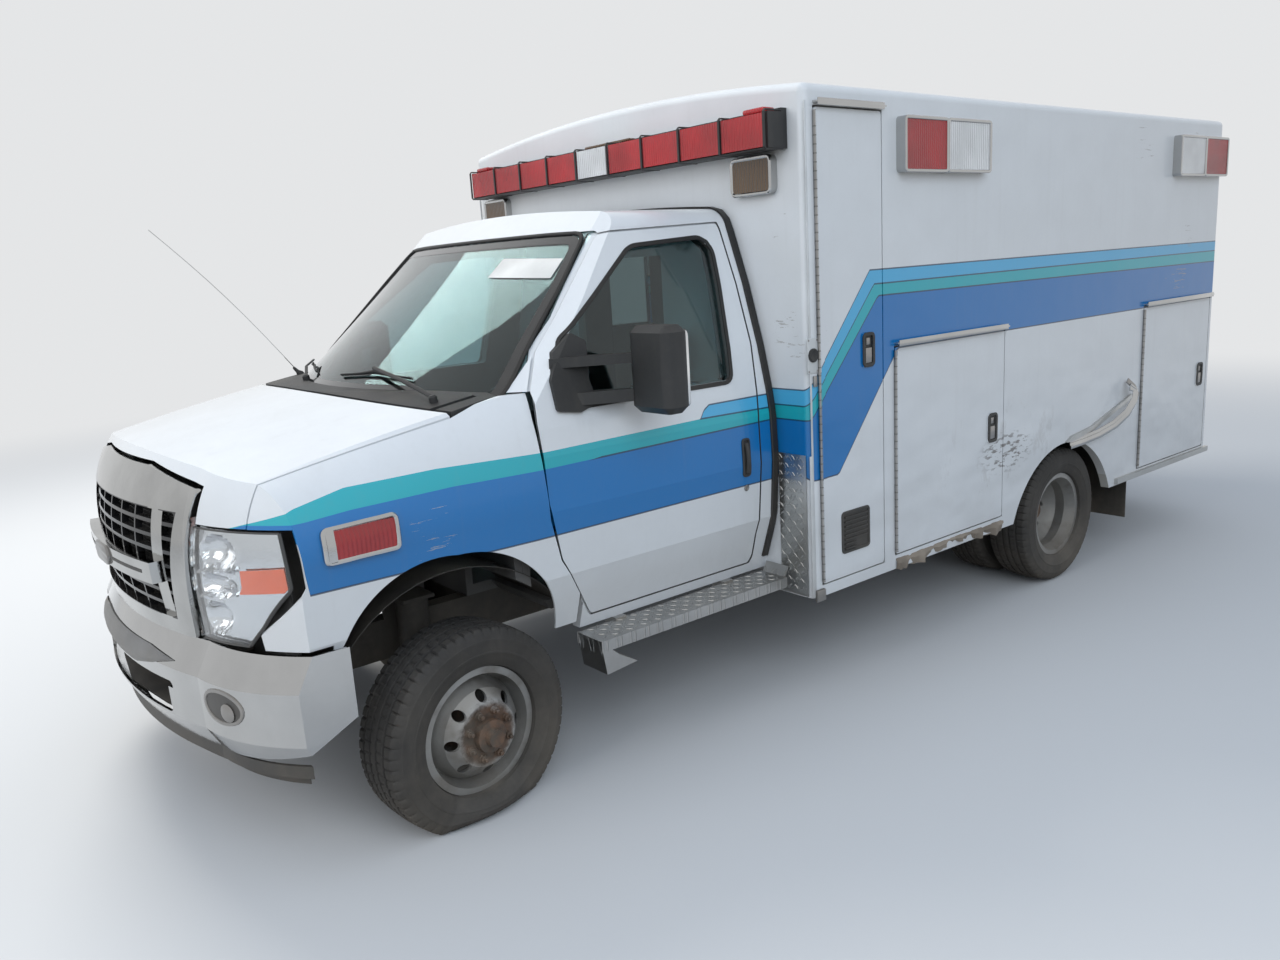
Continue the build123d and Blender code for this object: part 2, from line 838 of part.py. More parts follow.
# Twin I-beam front axle with coil springs
beam_z = 330
kingpin_radius = 28
beam_end = kingpin_y - kingpin_radius - seat_gap
beam_outline = [
    (-260, beam_z + 130),
    (-260, beam_z + 210),
    (420, beam_z + 90),
    (beam_end, beam_z + 70),
    (beam_end, beam_z - 40),
    (420, beam_z),
]
with BuildPart() as front_axle:
    for hand in (1, -1):
        with BuildSketch(across(hand * 5)):
            with BuildLine():
                Polyline(*[(hand * y, z) for y, z in beam_outline], close=True)
            make_face()
        extrude(amount=-50 if hand > 0 else 50)
        with BuildSketch(plan(beam_z + 62)):
            with Locations((0, hand * 590)):
                Circle(58)
                Circle(40, mode=Mode.SUBTRACT)
        extrude(amount=spring_top - beam_z - 62)
store(front_axle, "front_axle")

with BuildPart() as rear_axle_part:
    with BuildSketch(side(640)):
        with Locations((rear_axle, rear_axle_z)):
            Circle(50)
    extrude(amount=1280)
    with Locations((axle + rear_axle, 0, rear_axle_z)):
        Sphere(170)
    with BuildSketch(across(rear_axle + 100)):
        with Locations((0, rear_axle_z + 30)):
            Circle(45)
    extrude(amount=-rear_axle - 100 - 1100)
    for hand in (1, -1):
        with BuildSketch(side(hand * 525 + 38)):
            with BuildLine():
                low = ThreePointArc((rear_axle - 720, 560), (rear_axle, 410), (rear_axle + 720, 560))
                high = ThreePointArc((rear_axle + 720, 600), (rear_axle, 500), (rear_axle - 720, 600))
                Line(low @ 1, high @ 0)
                Line(high @ 1, low @ 0)
            make_face()
        extrude(amount=76)
        for end in (rear_axle - 700, rear_axle + 700):
            add(slab((end - 30, end + 30), facing(hand, rail_outside, 563), (550, 598)))
store(rear_axle_part, "rear_axle")


# Box body
def box_form(inset, low):
    """Outer form of the box moved in by an inset, with its crowned roof and round corner posts."""
    half = box_half - inset
    top = box_side_top - inset
    with BuildPart() as form:
        with BuildSketch(across(box_rear + inset)):
            with BuildLine():
                Polyline((-half, top), (-half, low), (half, low), (half, top))
                ThreePointArc((half, top), (0, box_crown - inset), (-half, top))
            make_face()
            fillet(vertices().group_by(Axis.Y)[1], max(box_corner - inset, 4))
        extrude(amount=box_length - 2 * inset)
        if inset == 0:
            fillet(form.edges().filter_by(Axis.Z), box_corner)
    return form.part


roof_seam = box_side_top - 60
box_outer = box_form(0, box_bottom)
box_inner = box_form(box_wall, box_bottom - 50)
inner_half = box_half - box_wall
inner_front = box_front - box_wall
inner_rear = box_rear + box_wall
with BuildPart() as box_shell:
    add(box_outer)
    add(box_inner, mode=Mode.SUBTRACT)

# Side doors: name, hand, front edge, rear edge, low edge, high edge
side_doors = [
    ("front_locker_door_left", 1, -1531, -1930, 485, 2340),
    ("middle_locker_door_left", 1, -2013, -2850, 500, 1404),
    ("rear_locker_door_left", 1, -4265, -5125, 488, 1404),
    ("front_locker_door_right", -1, -1531, -1930, 485, 2340),
    ("entry_door_right", -1, -2040, -2800, 500, 2080),
    ("rear_locker_door_right", -1, -4265, -5125, 488, 1404),
]
door_depth = box_wall - 5
liner_depth = 480
liner_sheet = 8
arch_x = -3450
arch_half = 489
arch_top = 768
arch_rear = arch_x - arch_half
arch_front = arch_x + arch_half


with BuildPart() as side_walls:
    add(box_shell.part)
    add(slab((box_rear, box_front), (-inner_half, inner_half), (0, 3000)), mode=Mode.SUBTRACT)
    add(slab((box_rear - 1, box_front + 1), (-1300, 1300), (roof_seam, 3000)), mode=Mode.SUBTRACT)
    for name, hand, front, rear, low, high in side_doors:
        gap_z = (low - door_gap, high + door_gap)
        add(slab((rear - door_gap, front + door_gap), facing(hand, 1000, 1300), gap_z), mode=Mode.SUBTRACT)
    with BuildSketch(side(1300)):
        with BuildLine():
            bow = ThreePointArc((arch_rear, box_bottom), (arch_x, arch_top), (arch_front, box_bottom))
            Polyline(bow @ 1, (arch_front, 300), (arch_rear, 300), bow @ 0)
        make_face()
    extrude(amount=2600, mode=Mode.SUBTRACT)
store(side_walls, "box_side_walls")

# Front wall with a walk-through hole to the cab, rear wall with the opening of the twin doors
through_half = 330
through_low = 900
through_high = 1840
rear_door_half = 620
rear_door_low = 872
rear_door_high = 2130
front_cut = (inner_front - 1, box_front + 1)
rear_cut = (box_rear - 1, inner_rear + 1)
doorway_half = rear_door_half + door_gap
with BuildPart() as front_wall:
    add(box_shell.part)
    add(slab((inner_front, box_front), (-inner_half, inner_half), (0, roof_seam)), mode=Mode.INTERSECT)
    add(slab(front_cut, (-through_half, through_half), (through_low, through_high)), mode=Mode.SUBTRACT)
    add(slab(front_cut, (-900, 900), (0, rail_top + 10)), mode=Mode.SUBTRACT)
store(front_wall, "box_front_wall")

with BuildPart() as rear_wall:
    add(box_shell.part)
    add(slab((box_rear, inner_rear), (-inner_half, inner_half), (0, roof_seam)), mode=Mode.INTERSECT)
    gap_z = (rear_door_low - door_gap, rear_door_high + door_gap)
    add(slab(rear_cut, (-doorway_half, doorway_half), gap_z), mode=Mode.SUBTRACT)
    add(slab(rear_cut, (-600, 600), (0, rail_top + 10)), mode=Mode.SUBTRACT)
store(rear_wall, "box_rear_wall")

with BuildPart() as roof:
    add(box_shell.part)
    add(slab((box_rear - 1, box_front + 1), (-1300, 1300), (roof_seam, 3000)), mode=Mode.INTERSECT)
store(roof, "box_roof")

# Lockers behind the side doors, open to the outside, and the step well behind the entry door
liner_back = inner_half - liner_depth
with BuildPart() as liners:
    for name, hand, front, rear, low, high in side_doors:
        top = floor_z if "entry" in name else high + liner_sheet
        outside_y = facing(hand, liner_back, inner_half)
        add(slab((rear - liner_sheet, front + liner_sheet), outside_y, (low - liner_sheet, top)))
    for name, hand, front, rear, low, high in side_doors:
        top = floor_z + 10 if "entry" in name else high
        inside_y = facing(hand, liner_back + liner_sheet, inner_half + 1)
        add(slab((rear, front), inside_y, (low, top)), mode=Mode.SUBTRACT)
store(liners, "locker_liners")

bearer_count = 7
bearer_pitch = 560
bearer_half = 25
bearer_low = rail_top + 110
bearer_reach = rail_y + rail_width + 60
with BuildPart() as box_floor:
    add(slab((inner_rear, inner_front), (-inner_half, inner_half), (floor_z - floor_thickness, floor_z)))
    for name, hand, front, rear, low, high in side_doors:
        outside_y = facing(hand, liner_back, inner_half)
        add(slab((rear - liner_sheet, front + liner_sheet), outside_y, (low, high)), mode=Mode.SUBTRACT)
    for step in range(bearer_count):
        station = inner_front - 120 - bearer_pitch * step
        bearer_x = (station - bearer_half, station + bearer_half)
        add(slab(bearer_x, (-bearer_reach, bearer_reach), (bearer_low, floor_z - floor_thickness)))
        for hand in (-1, 1):
            add(slab(bearer_x, facing(hand, rail_y, rail_y + rail_width), (rail_top, bearer_low)))
store(box_floor, "box_floor")

# Bench on the right and a cabinet wall on the left of the patient room
with BuildPart() as cabinets:
    add(slab((-4200, -2900), (-inner_half, -650), (floor_z, floor_z + 430)))
    add(slab((-5000, -2100), (700, inner_half), (1500, 2300)))
store(cabinets, "cabinets")

# Side doors: panel with its piano hinge and a paddle latch in a raised frame
hinge_end = 16
leaf_height = 34
latch_inset = 60
latch_width = 72
latch_half = 68
latch_rim = 10
entry_window_x = (-2630, -2210)
entry_window_z = (1440, 1940)
for name, hand, front, rear, low, high in side_doors:
    latch_z = (low + high) / 2
    latch_x = (rear + latch_inset, rear + latch_inset + latch_width)
    dish_x = (latch_x[0] + latch_rim, latch_x[1] - latch_rim)
    dish_z = (latch_z - latch_half + latch_rim, latch_z + latch_half - latch_rim)
    with BuildPart() as side_door:
        add(slab((rear, front), facing(hand, box_half - door_depth, box_half), (low, high)))
        fillet(side_door.edges().filter_by(Axis.Y), 14)
        if "entry" in name:
            add(slab(entry_window_x, facing(hand, 1000, 1300), entry_window_z), mode=Mode.SUBTRACT)
        leaf_y = facing(hand, box_half - 1, box_half + 3)
        add(slab((front - leaf_height, front), leaf_y, (low + hinge_end, high - hinge_end)))
        with BuildSketch(plan(low + hinge_end)):
            with Locations((front + door_gap / 2, hand * (box_half + hinge_radius + seat_gap))):
                Circle(hinge_radius)
            with Locations((front - 2, hand * (box_half + 4))):
                Rectangle(8, 6)
        extrude(amount=high - low - 2 * hinge_end)
        frame_y = facing(hand, box_half - 1, box_half + 5)
        add(slab(latch_x, frame_y, (latch_z - latch_half, latch_z + latch_half)))
        add(slab(dish_x, facing(hand, box_half + 1, box_half + 6), dish_z), mode=Mode.SUBTRACT)
    store(side_door, name)

with BuildPart() as entry_pane:
    add(slab(entry_window_x, (-box_half + 15, -box_half + 21), entry_window_z))
store(entry_pane, "entry_door_glass")

# Rear doors, hinged at their outer edges, each with a window
rear_window_z = (1480, 2010)
rear_door_z = (rear_door_low, rear_door_high)
rear_leaf_z = (rear_door_low + hinge_end, rear_door_high - hinge_end)
for hand, word in ((1, "left"), (-1, "right")):
    rear_window_y = facing(hand, 130, rear_door_half - 110)
    with BuildPart() as rear_door:
        add(slab((box_rear, box_rear + door_depth), facing(hand, door_gap / 2, rear_door_half), rear_door_z))
        fillet(rear_door.edges().filter_by(Axis.X), 14)
        add(slab((box_rear - 10, box_rear + 100), rear_window_y, rear_window_z), mode=Mode.SUBTRACT)
        leaf_y = facing(hand, rear_door_half - leaf_height, rear_door_half)
        add(slab((box_rear - 3, box_rear + 1), leaf_y, rear_leaf_z))
        with BuildSketch(plan(rear_leaf_z[0])):
            with Locations((box_rear - hinge_radius - seat_gap, hand * (rear_door_half + door_gap / 2))):
                Circle(hinge_radius)
            with Locations((box_rear - 4, hand * (rear_door_half - 2))):
                Rectangle(6, 8)
        extrude(amount=rear_leaf_z[1] - rear_leaf_z[0])
    store(rear_door, f"rear_door_{word}")
    with BuildPart() as rear_pane:
        add(slab((box_rear + 15, box_rear + 21), rear_window_y, rear_window_z))
    store(rear_pane, f"rear_door_glass_{word}")


# Light bar across the front of the box: a long housing with nine lens blocks
bar_depth = 120
bar_low = 2200
bar_high = 2330
bar_left = 1100
bar_right = -1040
modules = 9
pitch = (bar_left - bar_right) / modules
with BuildPart() as light_bar:
    add(slab((box_front, box_front + 30), (bar_right, bar_left), (bar_low, bar_high + 15)))
    for step in range(modules + 1):
        place = bar_right + step * pitch
        add(slab((box_front + 29, box_front + bar_depth - 10), (place - 7, place + 7), (bar_low, bar_high)))
store(light_bar, "light_bar")

lens_gap = 7.3
side_lamp_depth = 42
side_lamps = [
    # colour, front edge, rear edge
    ("red", -2042, -2316),
    ("clear", -2332, -2635),
    ("clear", -4541, -4840),
    ("red", -4856, -5140),
]
lamp_low = 2120
lamp_high = 2313
with BuildPart() as markers:
    for hand in (-1, 1):
        add(slab((218, 434), facing(hand, 960, 1030), (1012, 1108)))
    add(nose(-14), mode=Mode.INTERSECT)
    add(nose_outer, mode=Mode.SUBTRACT)
for colour in ("red", "clear"):
    with BuildPart() as lamps:
        for step in range(modules):
            if (step == modules // 2) == (colour == "clear"):
                near = bar_right + step * pitch + lens_gap
                lens_y = (near, near + pitch - 2 * lens_gap)
                add(slab((box_front + 30, box_front + bar_depth), lens_y, (bar_low + 5, bar_high - 5)))
        for tint, front, rear in side_lamps:
            if tint == colour:
                for hand in (-1, 1):
                    lens_y = facing(hand, box_half, box_half + side_lamp_depth)
                    add(slab((rear, front), lens_y, (lamp_low, lamp_high)))
        if colour == "red":
            add(markers.part)
            for hand in (-1, 1):
                add(slab((box_rear - 32, box_rear), facing(hand, 880, 1090), (690, 830)))
    store(lamps, f"{colour}_lamps")
with BuildPart() as amber_lamps:
    for flasher_y in ((832, 1035), (-1067, -867)):
        add(slab((box_front, box_front + 34), flasher_y, (2051, 2180)))
store(amber_lamps, "amber_lamps")

# Trim: drip rails over the doors, rub rails, corner guards and the arch strips; the left strip is torn off
strip_width = 34
strip_depth = 14
torn_strip = [
    (-3440, 771),
    (-3494, 766),
    (-3700, 790),
    (-4143, 914),
    (-4143, 936),
    (-3700, 818),
    (-3494, 796),
]
with BuildPart() as trim:
    for name, hand, front, rear, low, high in side_doors:
        rail_x = (rear - 10, front + 6)
        add(slab(rail_x, facing(hand, box_half, box_half + 22), (high + 14, high + 20)))
    for hand in (-1, 1):
        add(slab((-5180, arch_rear - 60), facing(hand, box_half, box_half + 20), (444, 474)))
        add(slab((box_front, box_front + 3), facing(hand, 1012, 1154), (box_bottom + 5, 1026)))
    with BuildSketch(side(-box_half)):
        with BuildLine():
            inside = ThreePointArc((arch_rear, box_bottom), (arch_x, arch_top), (arch_front, box_bottom))
            outside = ThreePointArc(
                (arch_rear - strip_width, box_bottom),
                (arch_x, arch_top + strip_width),
                (arch_front + strip_width, box_bottom),
            )
            Line(inside @ 0, outside @ 0)
            Line(inside @ 1, outside @ 1)
        make_face()
    extrude(amount=strip_depth)
    add(prism_side(torn_strip, box_half, box_half + strip_depth))
store(trim, "box_trim")

# Rear step and its brackets, with a hole for a tow ball and two holes for a blank plate
step_half = 1010
step_depth = 230
step_z = 500
step_sheet = 8
step_rear = box_rear - step_depth
ball_radius = 13
plate_pitch = 178
plate_hole = 3.5
with BuildPart() as rear_step:
    add(slab((step_rear, box_rear), (-step_half, step_half), (step_z - 40, step_z)))
    hollow_x = (step_rear + step_sheet, box_rear - step_sheet)
    hollow_y = (step_sheet - step_half, step_half - step_sheet)
    add(slab(hollow_x, hollow_y, (step_z - 50, step_z - step_sheet)), mode=Mode.SUBTRACT)
    add(slab((box_rear - 10, rail_rear), (-rail_outside, rail_outside), (step_z - 48, step_z - 10)))
    add(slab((step_rear, step_rear + 12), (-150, 150), (step_z - 130, step_z - 40)))
    with Locations((axle + box_rear - step_depth / 2, 0, step_z)):
        Hole(ball_radius)
    with BuildSketch(across(step_rear - 1)):
        with Locations((-plate_pitch / 2, step_z - 85), (plate_pitch / 2, step_z - 85)):
            Circle(plate_hole)
    extrude(amount=20, mode=Mode.SUBTRACT)
store(rear_step, "rear_step")

with BuildPart() as flaps:
    for hand in (-1, 1):
        add(slab((-4257, -4251), facing(hand, 650, 1130), (190, 700)))
store(flaps, "mud_flaps")


# Wheels: every section is drawn as (distance outboard from the rim's middle, radius)
rim_section = [
    (-85, 222),
    (-77, 222),
    (-77, 206),
    (-38, 206),
    (-26, 186),
    (26, 186),
    (38, 206),
    (77, 206),
    (77, 222),
    (85, 222),
    (85, 198),
    (32, 178),
    (-32, 178),
    (-85, 198),
]
tyre_section = [
    (-76, 206),
    (-76, 224),
    (-98, 226),
    (-112, 288),
    (-94, 351),
    (-60, tyre_radius),
    (60, tyre_radius),
    (94, 351),
    (112, 288),
    (98, 226),
    (76, 224),
    (76, 206),
]
front_pad = 126
rear_pad = dual_spacing / 2
hand_hole_circle = 150
hand_hole_radius = 19
drum_radius = 150
hub_radius = 56
hub_rear = 96


def turned(points):
    """Solid of revolution about the X axis from an outline drawn as (x, radius)."""
    with BuildPart() as made:
        with BuildSketch(Plane.XY):
            with BuildLine():
                Polyline(*points, close=True)
            make_face()
        revolve(axis=Axis.X)
    return made.part


def rim_part(dish, pad):
    """Steel wheel with its dished disc and hand holes; dish is +1 where the disc bulges outboard."""
    disc = [
        (14, 180),
        (26, 184),
        (pad - 38, 150),
        (pad, 112),
        (pad, 60),
        (pad - 8, 60),
        (pad - 8, 108),
        (pad - 46, 142),
    ]
    with BuildPart() as rim:
        add(turned(rim_section))
        add(turned([(dish * x, r) for x, r in disc]))
        with BuildSketch(Plane.YZ):
            with PolarLocations(hand_hole_circle - 18, hand_holes):
                Circle(hand_hole_radius)
        extrude(amount=200, both=True, mode=Mode.SUBTRACT)
    return rim.part


bulge_levels = [
    # height above the ground, half length, half width
    (0, 250, 126),
    (45, 262, 146),
    (150, 205, 112),
]


def side_bulge():
    """Sidewalls squeezed out beside the contact patch, clear of the rim."""
    with BuildPart() as bulge:
        for height, length, width in bulge_levels:
            with BuildSketch(Plane.XY.offset(height - flat_axle_z)):
                Ellipse(width, length)
        loft()
        add(turned([(-200, 0), (-200, 228), (200, 228), (200, 0)]), mode=Mode.SUBTRACT)
    return bulge.part


def sunk_tyre():
    """Tyre without air: flat on the ground, its sidewalls bulging beside the contact patch."""
    with BuildPart() as tyre:
        add(turned(tyre_section))
        add(side_bulge())
        with Locations((0, 0, -flat_axle_z - 200)):
            Box(600, 900, 400, mode=Mode.SUBTRACT)
    return tyre.part


front_rim = rim_part(1, front_pad)
front_hub_section = [
    (-hub_rear, 0),
    (-hub_rear, 46),
    (-80, 46),
    (-80, 160),
    (-58, 160),
    (-58, 70),
    (front_pad, 70),
    (front_pad, 58),
    (front_pad + 26, hub_radius),
    (front_pad + 30, 34),
    (front_pad + 52, 30),
    (front_pad + 52, 0),
]
front_hub = turned(front_hub_section)
plain_tyre = turned(tyre_section)
knuckle_half = 95
stub_radius = 26
stub_length = front_tyre_y - kingpin_y - hub_rear - seat_gap
arm_length = 180
arm_size = 24
for hand, word, height in ((1, "left", flat_axle_z), (-1, "right", front_axle_z)):
    kingpin = Location((axle, hand * kingpin_y, height), (0, 0, rest_steer))
    reach = Location((0, hand * (front_tyre_y - kingpin_y), 0), (0, 0, hand * 90))
    with BuildPart() as rim:
        with Locations(kingpin * reach):
            add(front_rim)
            add(front_hub)
    store(rim, f"rim_front_{word}")
    with BuildPart() as tyre:
        with Locations(kingpin * reach):
            add(sunk_tyre() if hand > 0 else plain_tyre)
    store(tyre, f"tyre_front_{word}")
    with BuildPart() as knuckle:
        with Locations(kingpin):
            Cylinder(kingpin_radius, 2 * knuckle_half)
        with Locations(kingpin * Location((0, hand * stub_length / 2, 0), (90, 0, 0))):
            Cylinder(stub_radius, stub_length)
        with Locations(kingpin * Location((-arm_length / 2, 0, -60))):
            Box(arm_length, arm_size, arm_size)
    store(knuckle, f"knuckle_{word}")

axle_end = 640
outer_rim = rim_part(-1, rear_pad)
inner_rim = rim_part(1, rear_pad)
middle_y = outer_tyre_y - dual_spacing / 2
for hand, word in ((1, "left"), (-1, "right")):
    outward = (0, 0, hand * 90)
    outer = Location((axle + rear_axle, hand * outer_tyre_y, rear_axle_z), outward)
    inner = Location((axle + rear_axle, hand * (outer_tyre_y - dual_spacing), rear_axle_z), outward)
    hub = Location((axle + rear_axle, hand * middle_y, rear_axle_z), outward)
    start = axle_end + seat_gap - middle_y
    hub_section = [
        (start, 0),
        (start, drum_radius),
        (-8, drum_radius),
        (-8, 80),
        (8, 80),
        (8, 62),
        (96, 58),
        (110, 44),
        (110, 0),
    ]
    with BuildPart() as rims:
        with Locations(outer):
            add(outer_rim)
        with Locations(inner):
            add(inner_rim)
        with Locations(hub):
            add(turned(hub_section))
    store(rims, f"rims_rear_{word}")
    with BuildPart() as tyres:
        with Locations(outer, inner):
            add(plain_tyre)
    store(tyres, f"tyres_rear_{word}")
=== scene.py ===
"""Looks of a worn box-body ambulance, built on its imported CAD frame.

Lengths in the classes are millimetres. Stations run along X from the front axle, plus towards the nose.
Y is plus to the vehicle's left, and heights are above the ground.
"""

from __future__ import annotations

import json
import logging
import math
from collections.abc import Iterable, Sequence
from dataclasses import dataclass
from enum import Enum

import bmesh
import bpy
from mathutils import Matrix, Vector
from mathutils.bvhtree import BVHTree

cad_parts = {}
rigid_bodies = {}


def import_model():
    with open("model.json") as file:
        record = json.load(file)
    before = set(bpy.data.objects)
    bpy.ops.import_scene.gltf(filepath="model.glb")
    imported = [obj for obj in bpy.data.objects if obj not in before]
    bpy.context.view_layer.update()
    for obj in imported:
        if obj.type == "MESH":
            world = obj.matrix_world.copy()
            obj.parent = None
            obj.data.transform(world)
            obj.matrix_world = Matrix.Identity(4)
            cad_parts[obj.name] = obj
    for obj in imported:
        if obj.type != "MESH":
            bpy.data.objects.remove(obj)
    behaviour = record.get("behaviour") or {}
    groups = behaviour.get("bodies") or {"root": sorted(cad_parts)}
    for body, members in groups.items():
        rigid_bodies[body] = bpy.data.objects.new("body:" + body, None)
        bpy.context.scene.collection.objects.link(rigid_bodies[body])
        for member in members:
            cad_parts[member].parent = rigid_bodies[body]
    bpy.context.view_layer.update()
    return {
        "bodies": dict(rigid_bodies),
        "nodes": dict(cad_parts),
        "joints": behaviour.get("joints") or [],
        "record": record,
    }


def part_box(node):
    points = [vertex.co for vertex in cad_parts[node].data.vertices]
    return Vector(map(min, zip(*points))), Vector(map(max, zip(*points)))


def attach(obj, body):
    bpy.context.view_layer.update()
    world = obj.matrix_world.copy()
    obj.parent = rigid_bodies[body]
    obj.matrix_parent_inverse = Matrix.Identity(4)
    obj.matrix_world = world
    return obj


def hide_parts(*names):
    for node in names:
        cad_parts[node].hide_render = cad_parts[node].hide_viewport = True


LOG = logging.getLogger("ambulance")
MM = 0.001
FRONT_AXLE = 2287.5
REAR_AXLE = -3505.0
BOX_FRONT = -1474.0
BOX_REAR = -5185.0
BOX_HALF = 1181.0
ROOT = "body"
ALONG = Vector((1.0, 0.0, 0.0))
ASIDE = Vector((0.0, 1.0, 0.0))
UP = Vector((0.0, 0.0, 1.0))

Point = tuple[float, float, float]
Flat = tuple[float, float]
Tint = tuple[float, float, float]
Socket = bpy.types.NodeSocket
Outline = Sequence[Flat]
SkinPoint = tuple[Vector, Vector]
Node = bpy.types.Node
Material = bpy.types.Material

BLACK: Tint = (0.0, 0.0, 0.0)
ROAD_DUST: Tint = (0.26, 0.225, 0.18)


class Hand(Enum):
    """Side of the vehicle, as the sign of Y."""

    LEFT = 1
    RIGHT = -1

    @property
    def word(self) -> str:
        """Gives the side as it stands in the names of pieces."""
        return self.name.lower()

    def y(self, outboard: float) -> float:
        """Gives the Y of a distance outboard of the middle."""
        return self.value * outboard

    def span(self, inner: float, outer: float) -> Flat:
        """Gives the lower and the upper Y between two distances outboard."""
        low, high = sorted((self.y(inner), self.y(outer)))
        return low, high


class View(Enum):
    """Plane that an outline is drawn in, with the axis it is run along."""

    ACROSS = "Y and height, run along the station"
    LEVEL = "station and Y, run along the height"


def place(station: float, y: float, height: float) -> Vector:
    """Puts a point measured from the front axle into the frame, in metres."""
    return Vector(((FRONT_AXLE + station) * MM, y * MM, height * MM))


def lifted(view: View, first: float, second: float, along: float) -> Vector:
    """Puts a drawn point, and its place along the axis that the view leaves out, into the frame."""
    if view is View.ACROSS:
        return place(along, first, second)
    return place(first, second, along)


# ---- shader nets


class Net:
    """A net of shader nodes, with short calls that add nodes and join them."""

    def __init__(self, tree: bpy.types.NodeTree) -> None:
        """Keeps the tree that the calls work on."""
        self.tree = tree

    def add(self, kind: str, **settings: object) -> Node:
        """Adds a node.

        Args:
            kind: Blender's type name without the ShaderNode prefix.
            settings: properties of the node.

        Returns:
            The new node.
        """
        prefix = "" if kind.startswith("Node") else "ShaderNode"
        made = self.tree.nodes.new(prefix + kind)
        for key, value in settings.items():
            setattr(made, key, value)
        return made

    def feed(self, target: Socket, source: object) -> None:
        """Joins a socket to an input, or sets the input to a plain value."""
        if isinstance(source, bpy.types.NodeSocket):
            self.tree.links.new(source, target)
        else:
            target.default_value = source

    def fit(self, node: Node, **inputs: object) -> Node:
        """Feeds a node's inputs by name, with _ for a space, and returns the node."""
        for name, source in inputs.items():
            self.feed(node.inputs[name.replace("_", " ")], source)
        return node

    def step(self, kind: str, inputs: Sequence[object], **settings: object) -> Node:
        """Adds a node and feeds its inputs in their order.

        Args:
            kind: Blender's type name without the ShaderNode prefix.
            inputs: sockets or plain values.
            settings: properties of the node.

        Returns:
            The new node.
        """
        made = self.add(kind, **settings)
        for slot, source in zip(made.inputs, inputs):
            self.feed(slot, source)
        return made

    def math(self, action: str, first: object, second: object = 0.0, clamp: bool = False) -> Socket:
        """Adds one step of arithmetic, kept between 0 and 1 if wanted, and returns the socket."""
        return self.step("Math", (first, second), operation=action, use_clamp=clamp).outputs[0]

    def plus(self, first: object, second: object) -> Socket:
        """Adds two values and returns the socket."""
        return self.math("ADD", first, second)

    def minus(self, first: object, second: object, clamp: bool = False) -> Socket:
        """Takes the second value from the first and returns the socket."""
        return self.math("SUBTRACT", first, second, clamp)

    def times(self, first: object, second: object, clamp: bool = False) -> Socket:
        """Multiplies two values and returns the socket."""
        return self.math("MULTIPLY", first, second, clamp)

    def square(self, value: object) -> Socket:
        """Squares a value of either sign and returns the socket."""
        return self.math("POWER", self.math("ABSOLUTE", value), 2.0)

    def near(self, value: object, middle: object, reach: float) -> Socket:
        """Gives 1 where a value is within a reach of a middle and returns the socket."""
        return self.step_below(self.math("ABSOLUTE", self.minus(value, middle)), reach)

    def vector(self, action: str, first: object, second: object) -> Node:
        """Adds one step of vector arithmetic and returns its node."""
        return self.step("VectorMath", (first, second), operation=action)

    def span(self, value: object, low: float, high: float, start: float = 0.0, end: float = 1.0) -> Socket:
        """Maps a value smoothly from low and high to start and end, clamps it and returns the socket."""
        return self.step("MapRange", (value, low, high, start, end), interpolation_type="SMOOTHSTEP").outputs[0]

    def mix(self, mask: object, below: object, above: object) -> Socket:
        """Lays one colour over another by a mask and returns the colour's socket."""
        made = self.add("Mix", data_type="RGBA")
        for index, source in ((0, mask), (6, below), (7, above)):
            self.feed(made.inputs[index], (*source, 1.0) if isinstance(source, tuple) else source)
        return made.outputs[2]

    def noise(self, vector: object, scale: float, detail: float = 3.0, rough: float = 0.5) -> Socket:
        """Adds a noise and returns its value's socket."""
        return self.fit(self.add("TexNoise"), Vector=vector, Scale=scale, Detail=detail, Roughness=rough).outputs[0]

    def stretch(self, vector: object, scale: Point) -> Socket:
        """Scales a vector along its axes and returns its socket."""
        return self.vector("MULTIPLY", vector, scale).outputs[0]

    def rest(self) -> tuple[Socket, Socket]:
        """Adds the piece's own point and surface direction, which stay with it in every pose."""
        made = self.add("TexCoord")
        return made.outputs["Object"], made.outputs["Normal"]

    def split(self, vector: Socket) -> tuple[Socket, Socket, Socket]:
        """Splits a vector into the sockets of its three values."""
        x, y, z = self.step("SeparateXYZ", (vector,)).outputs
        return x, y, z

    def step_below(self, value: object, limit: object) -> Socket:
        """Gives 1 where a value is below a limit and returns the socket."""
        return self.math("LESS_THAN", value, limit)

    def group(self, made: bpy.types.NodeTree, **inputs: object) -> Node:
        """Places a shader group in the tree with its own values or sockets by input name."""
        return self.fit(self.add("Group", node_tree=made), **inputs)


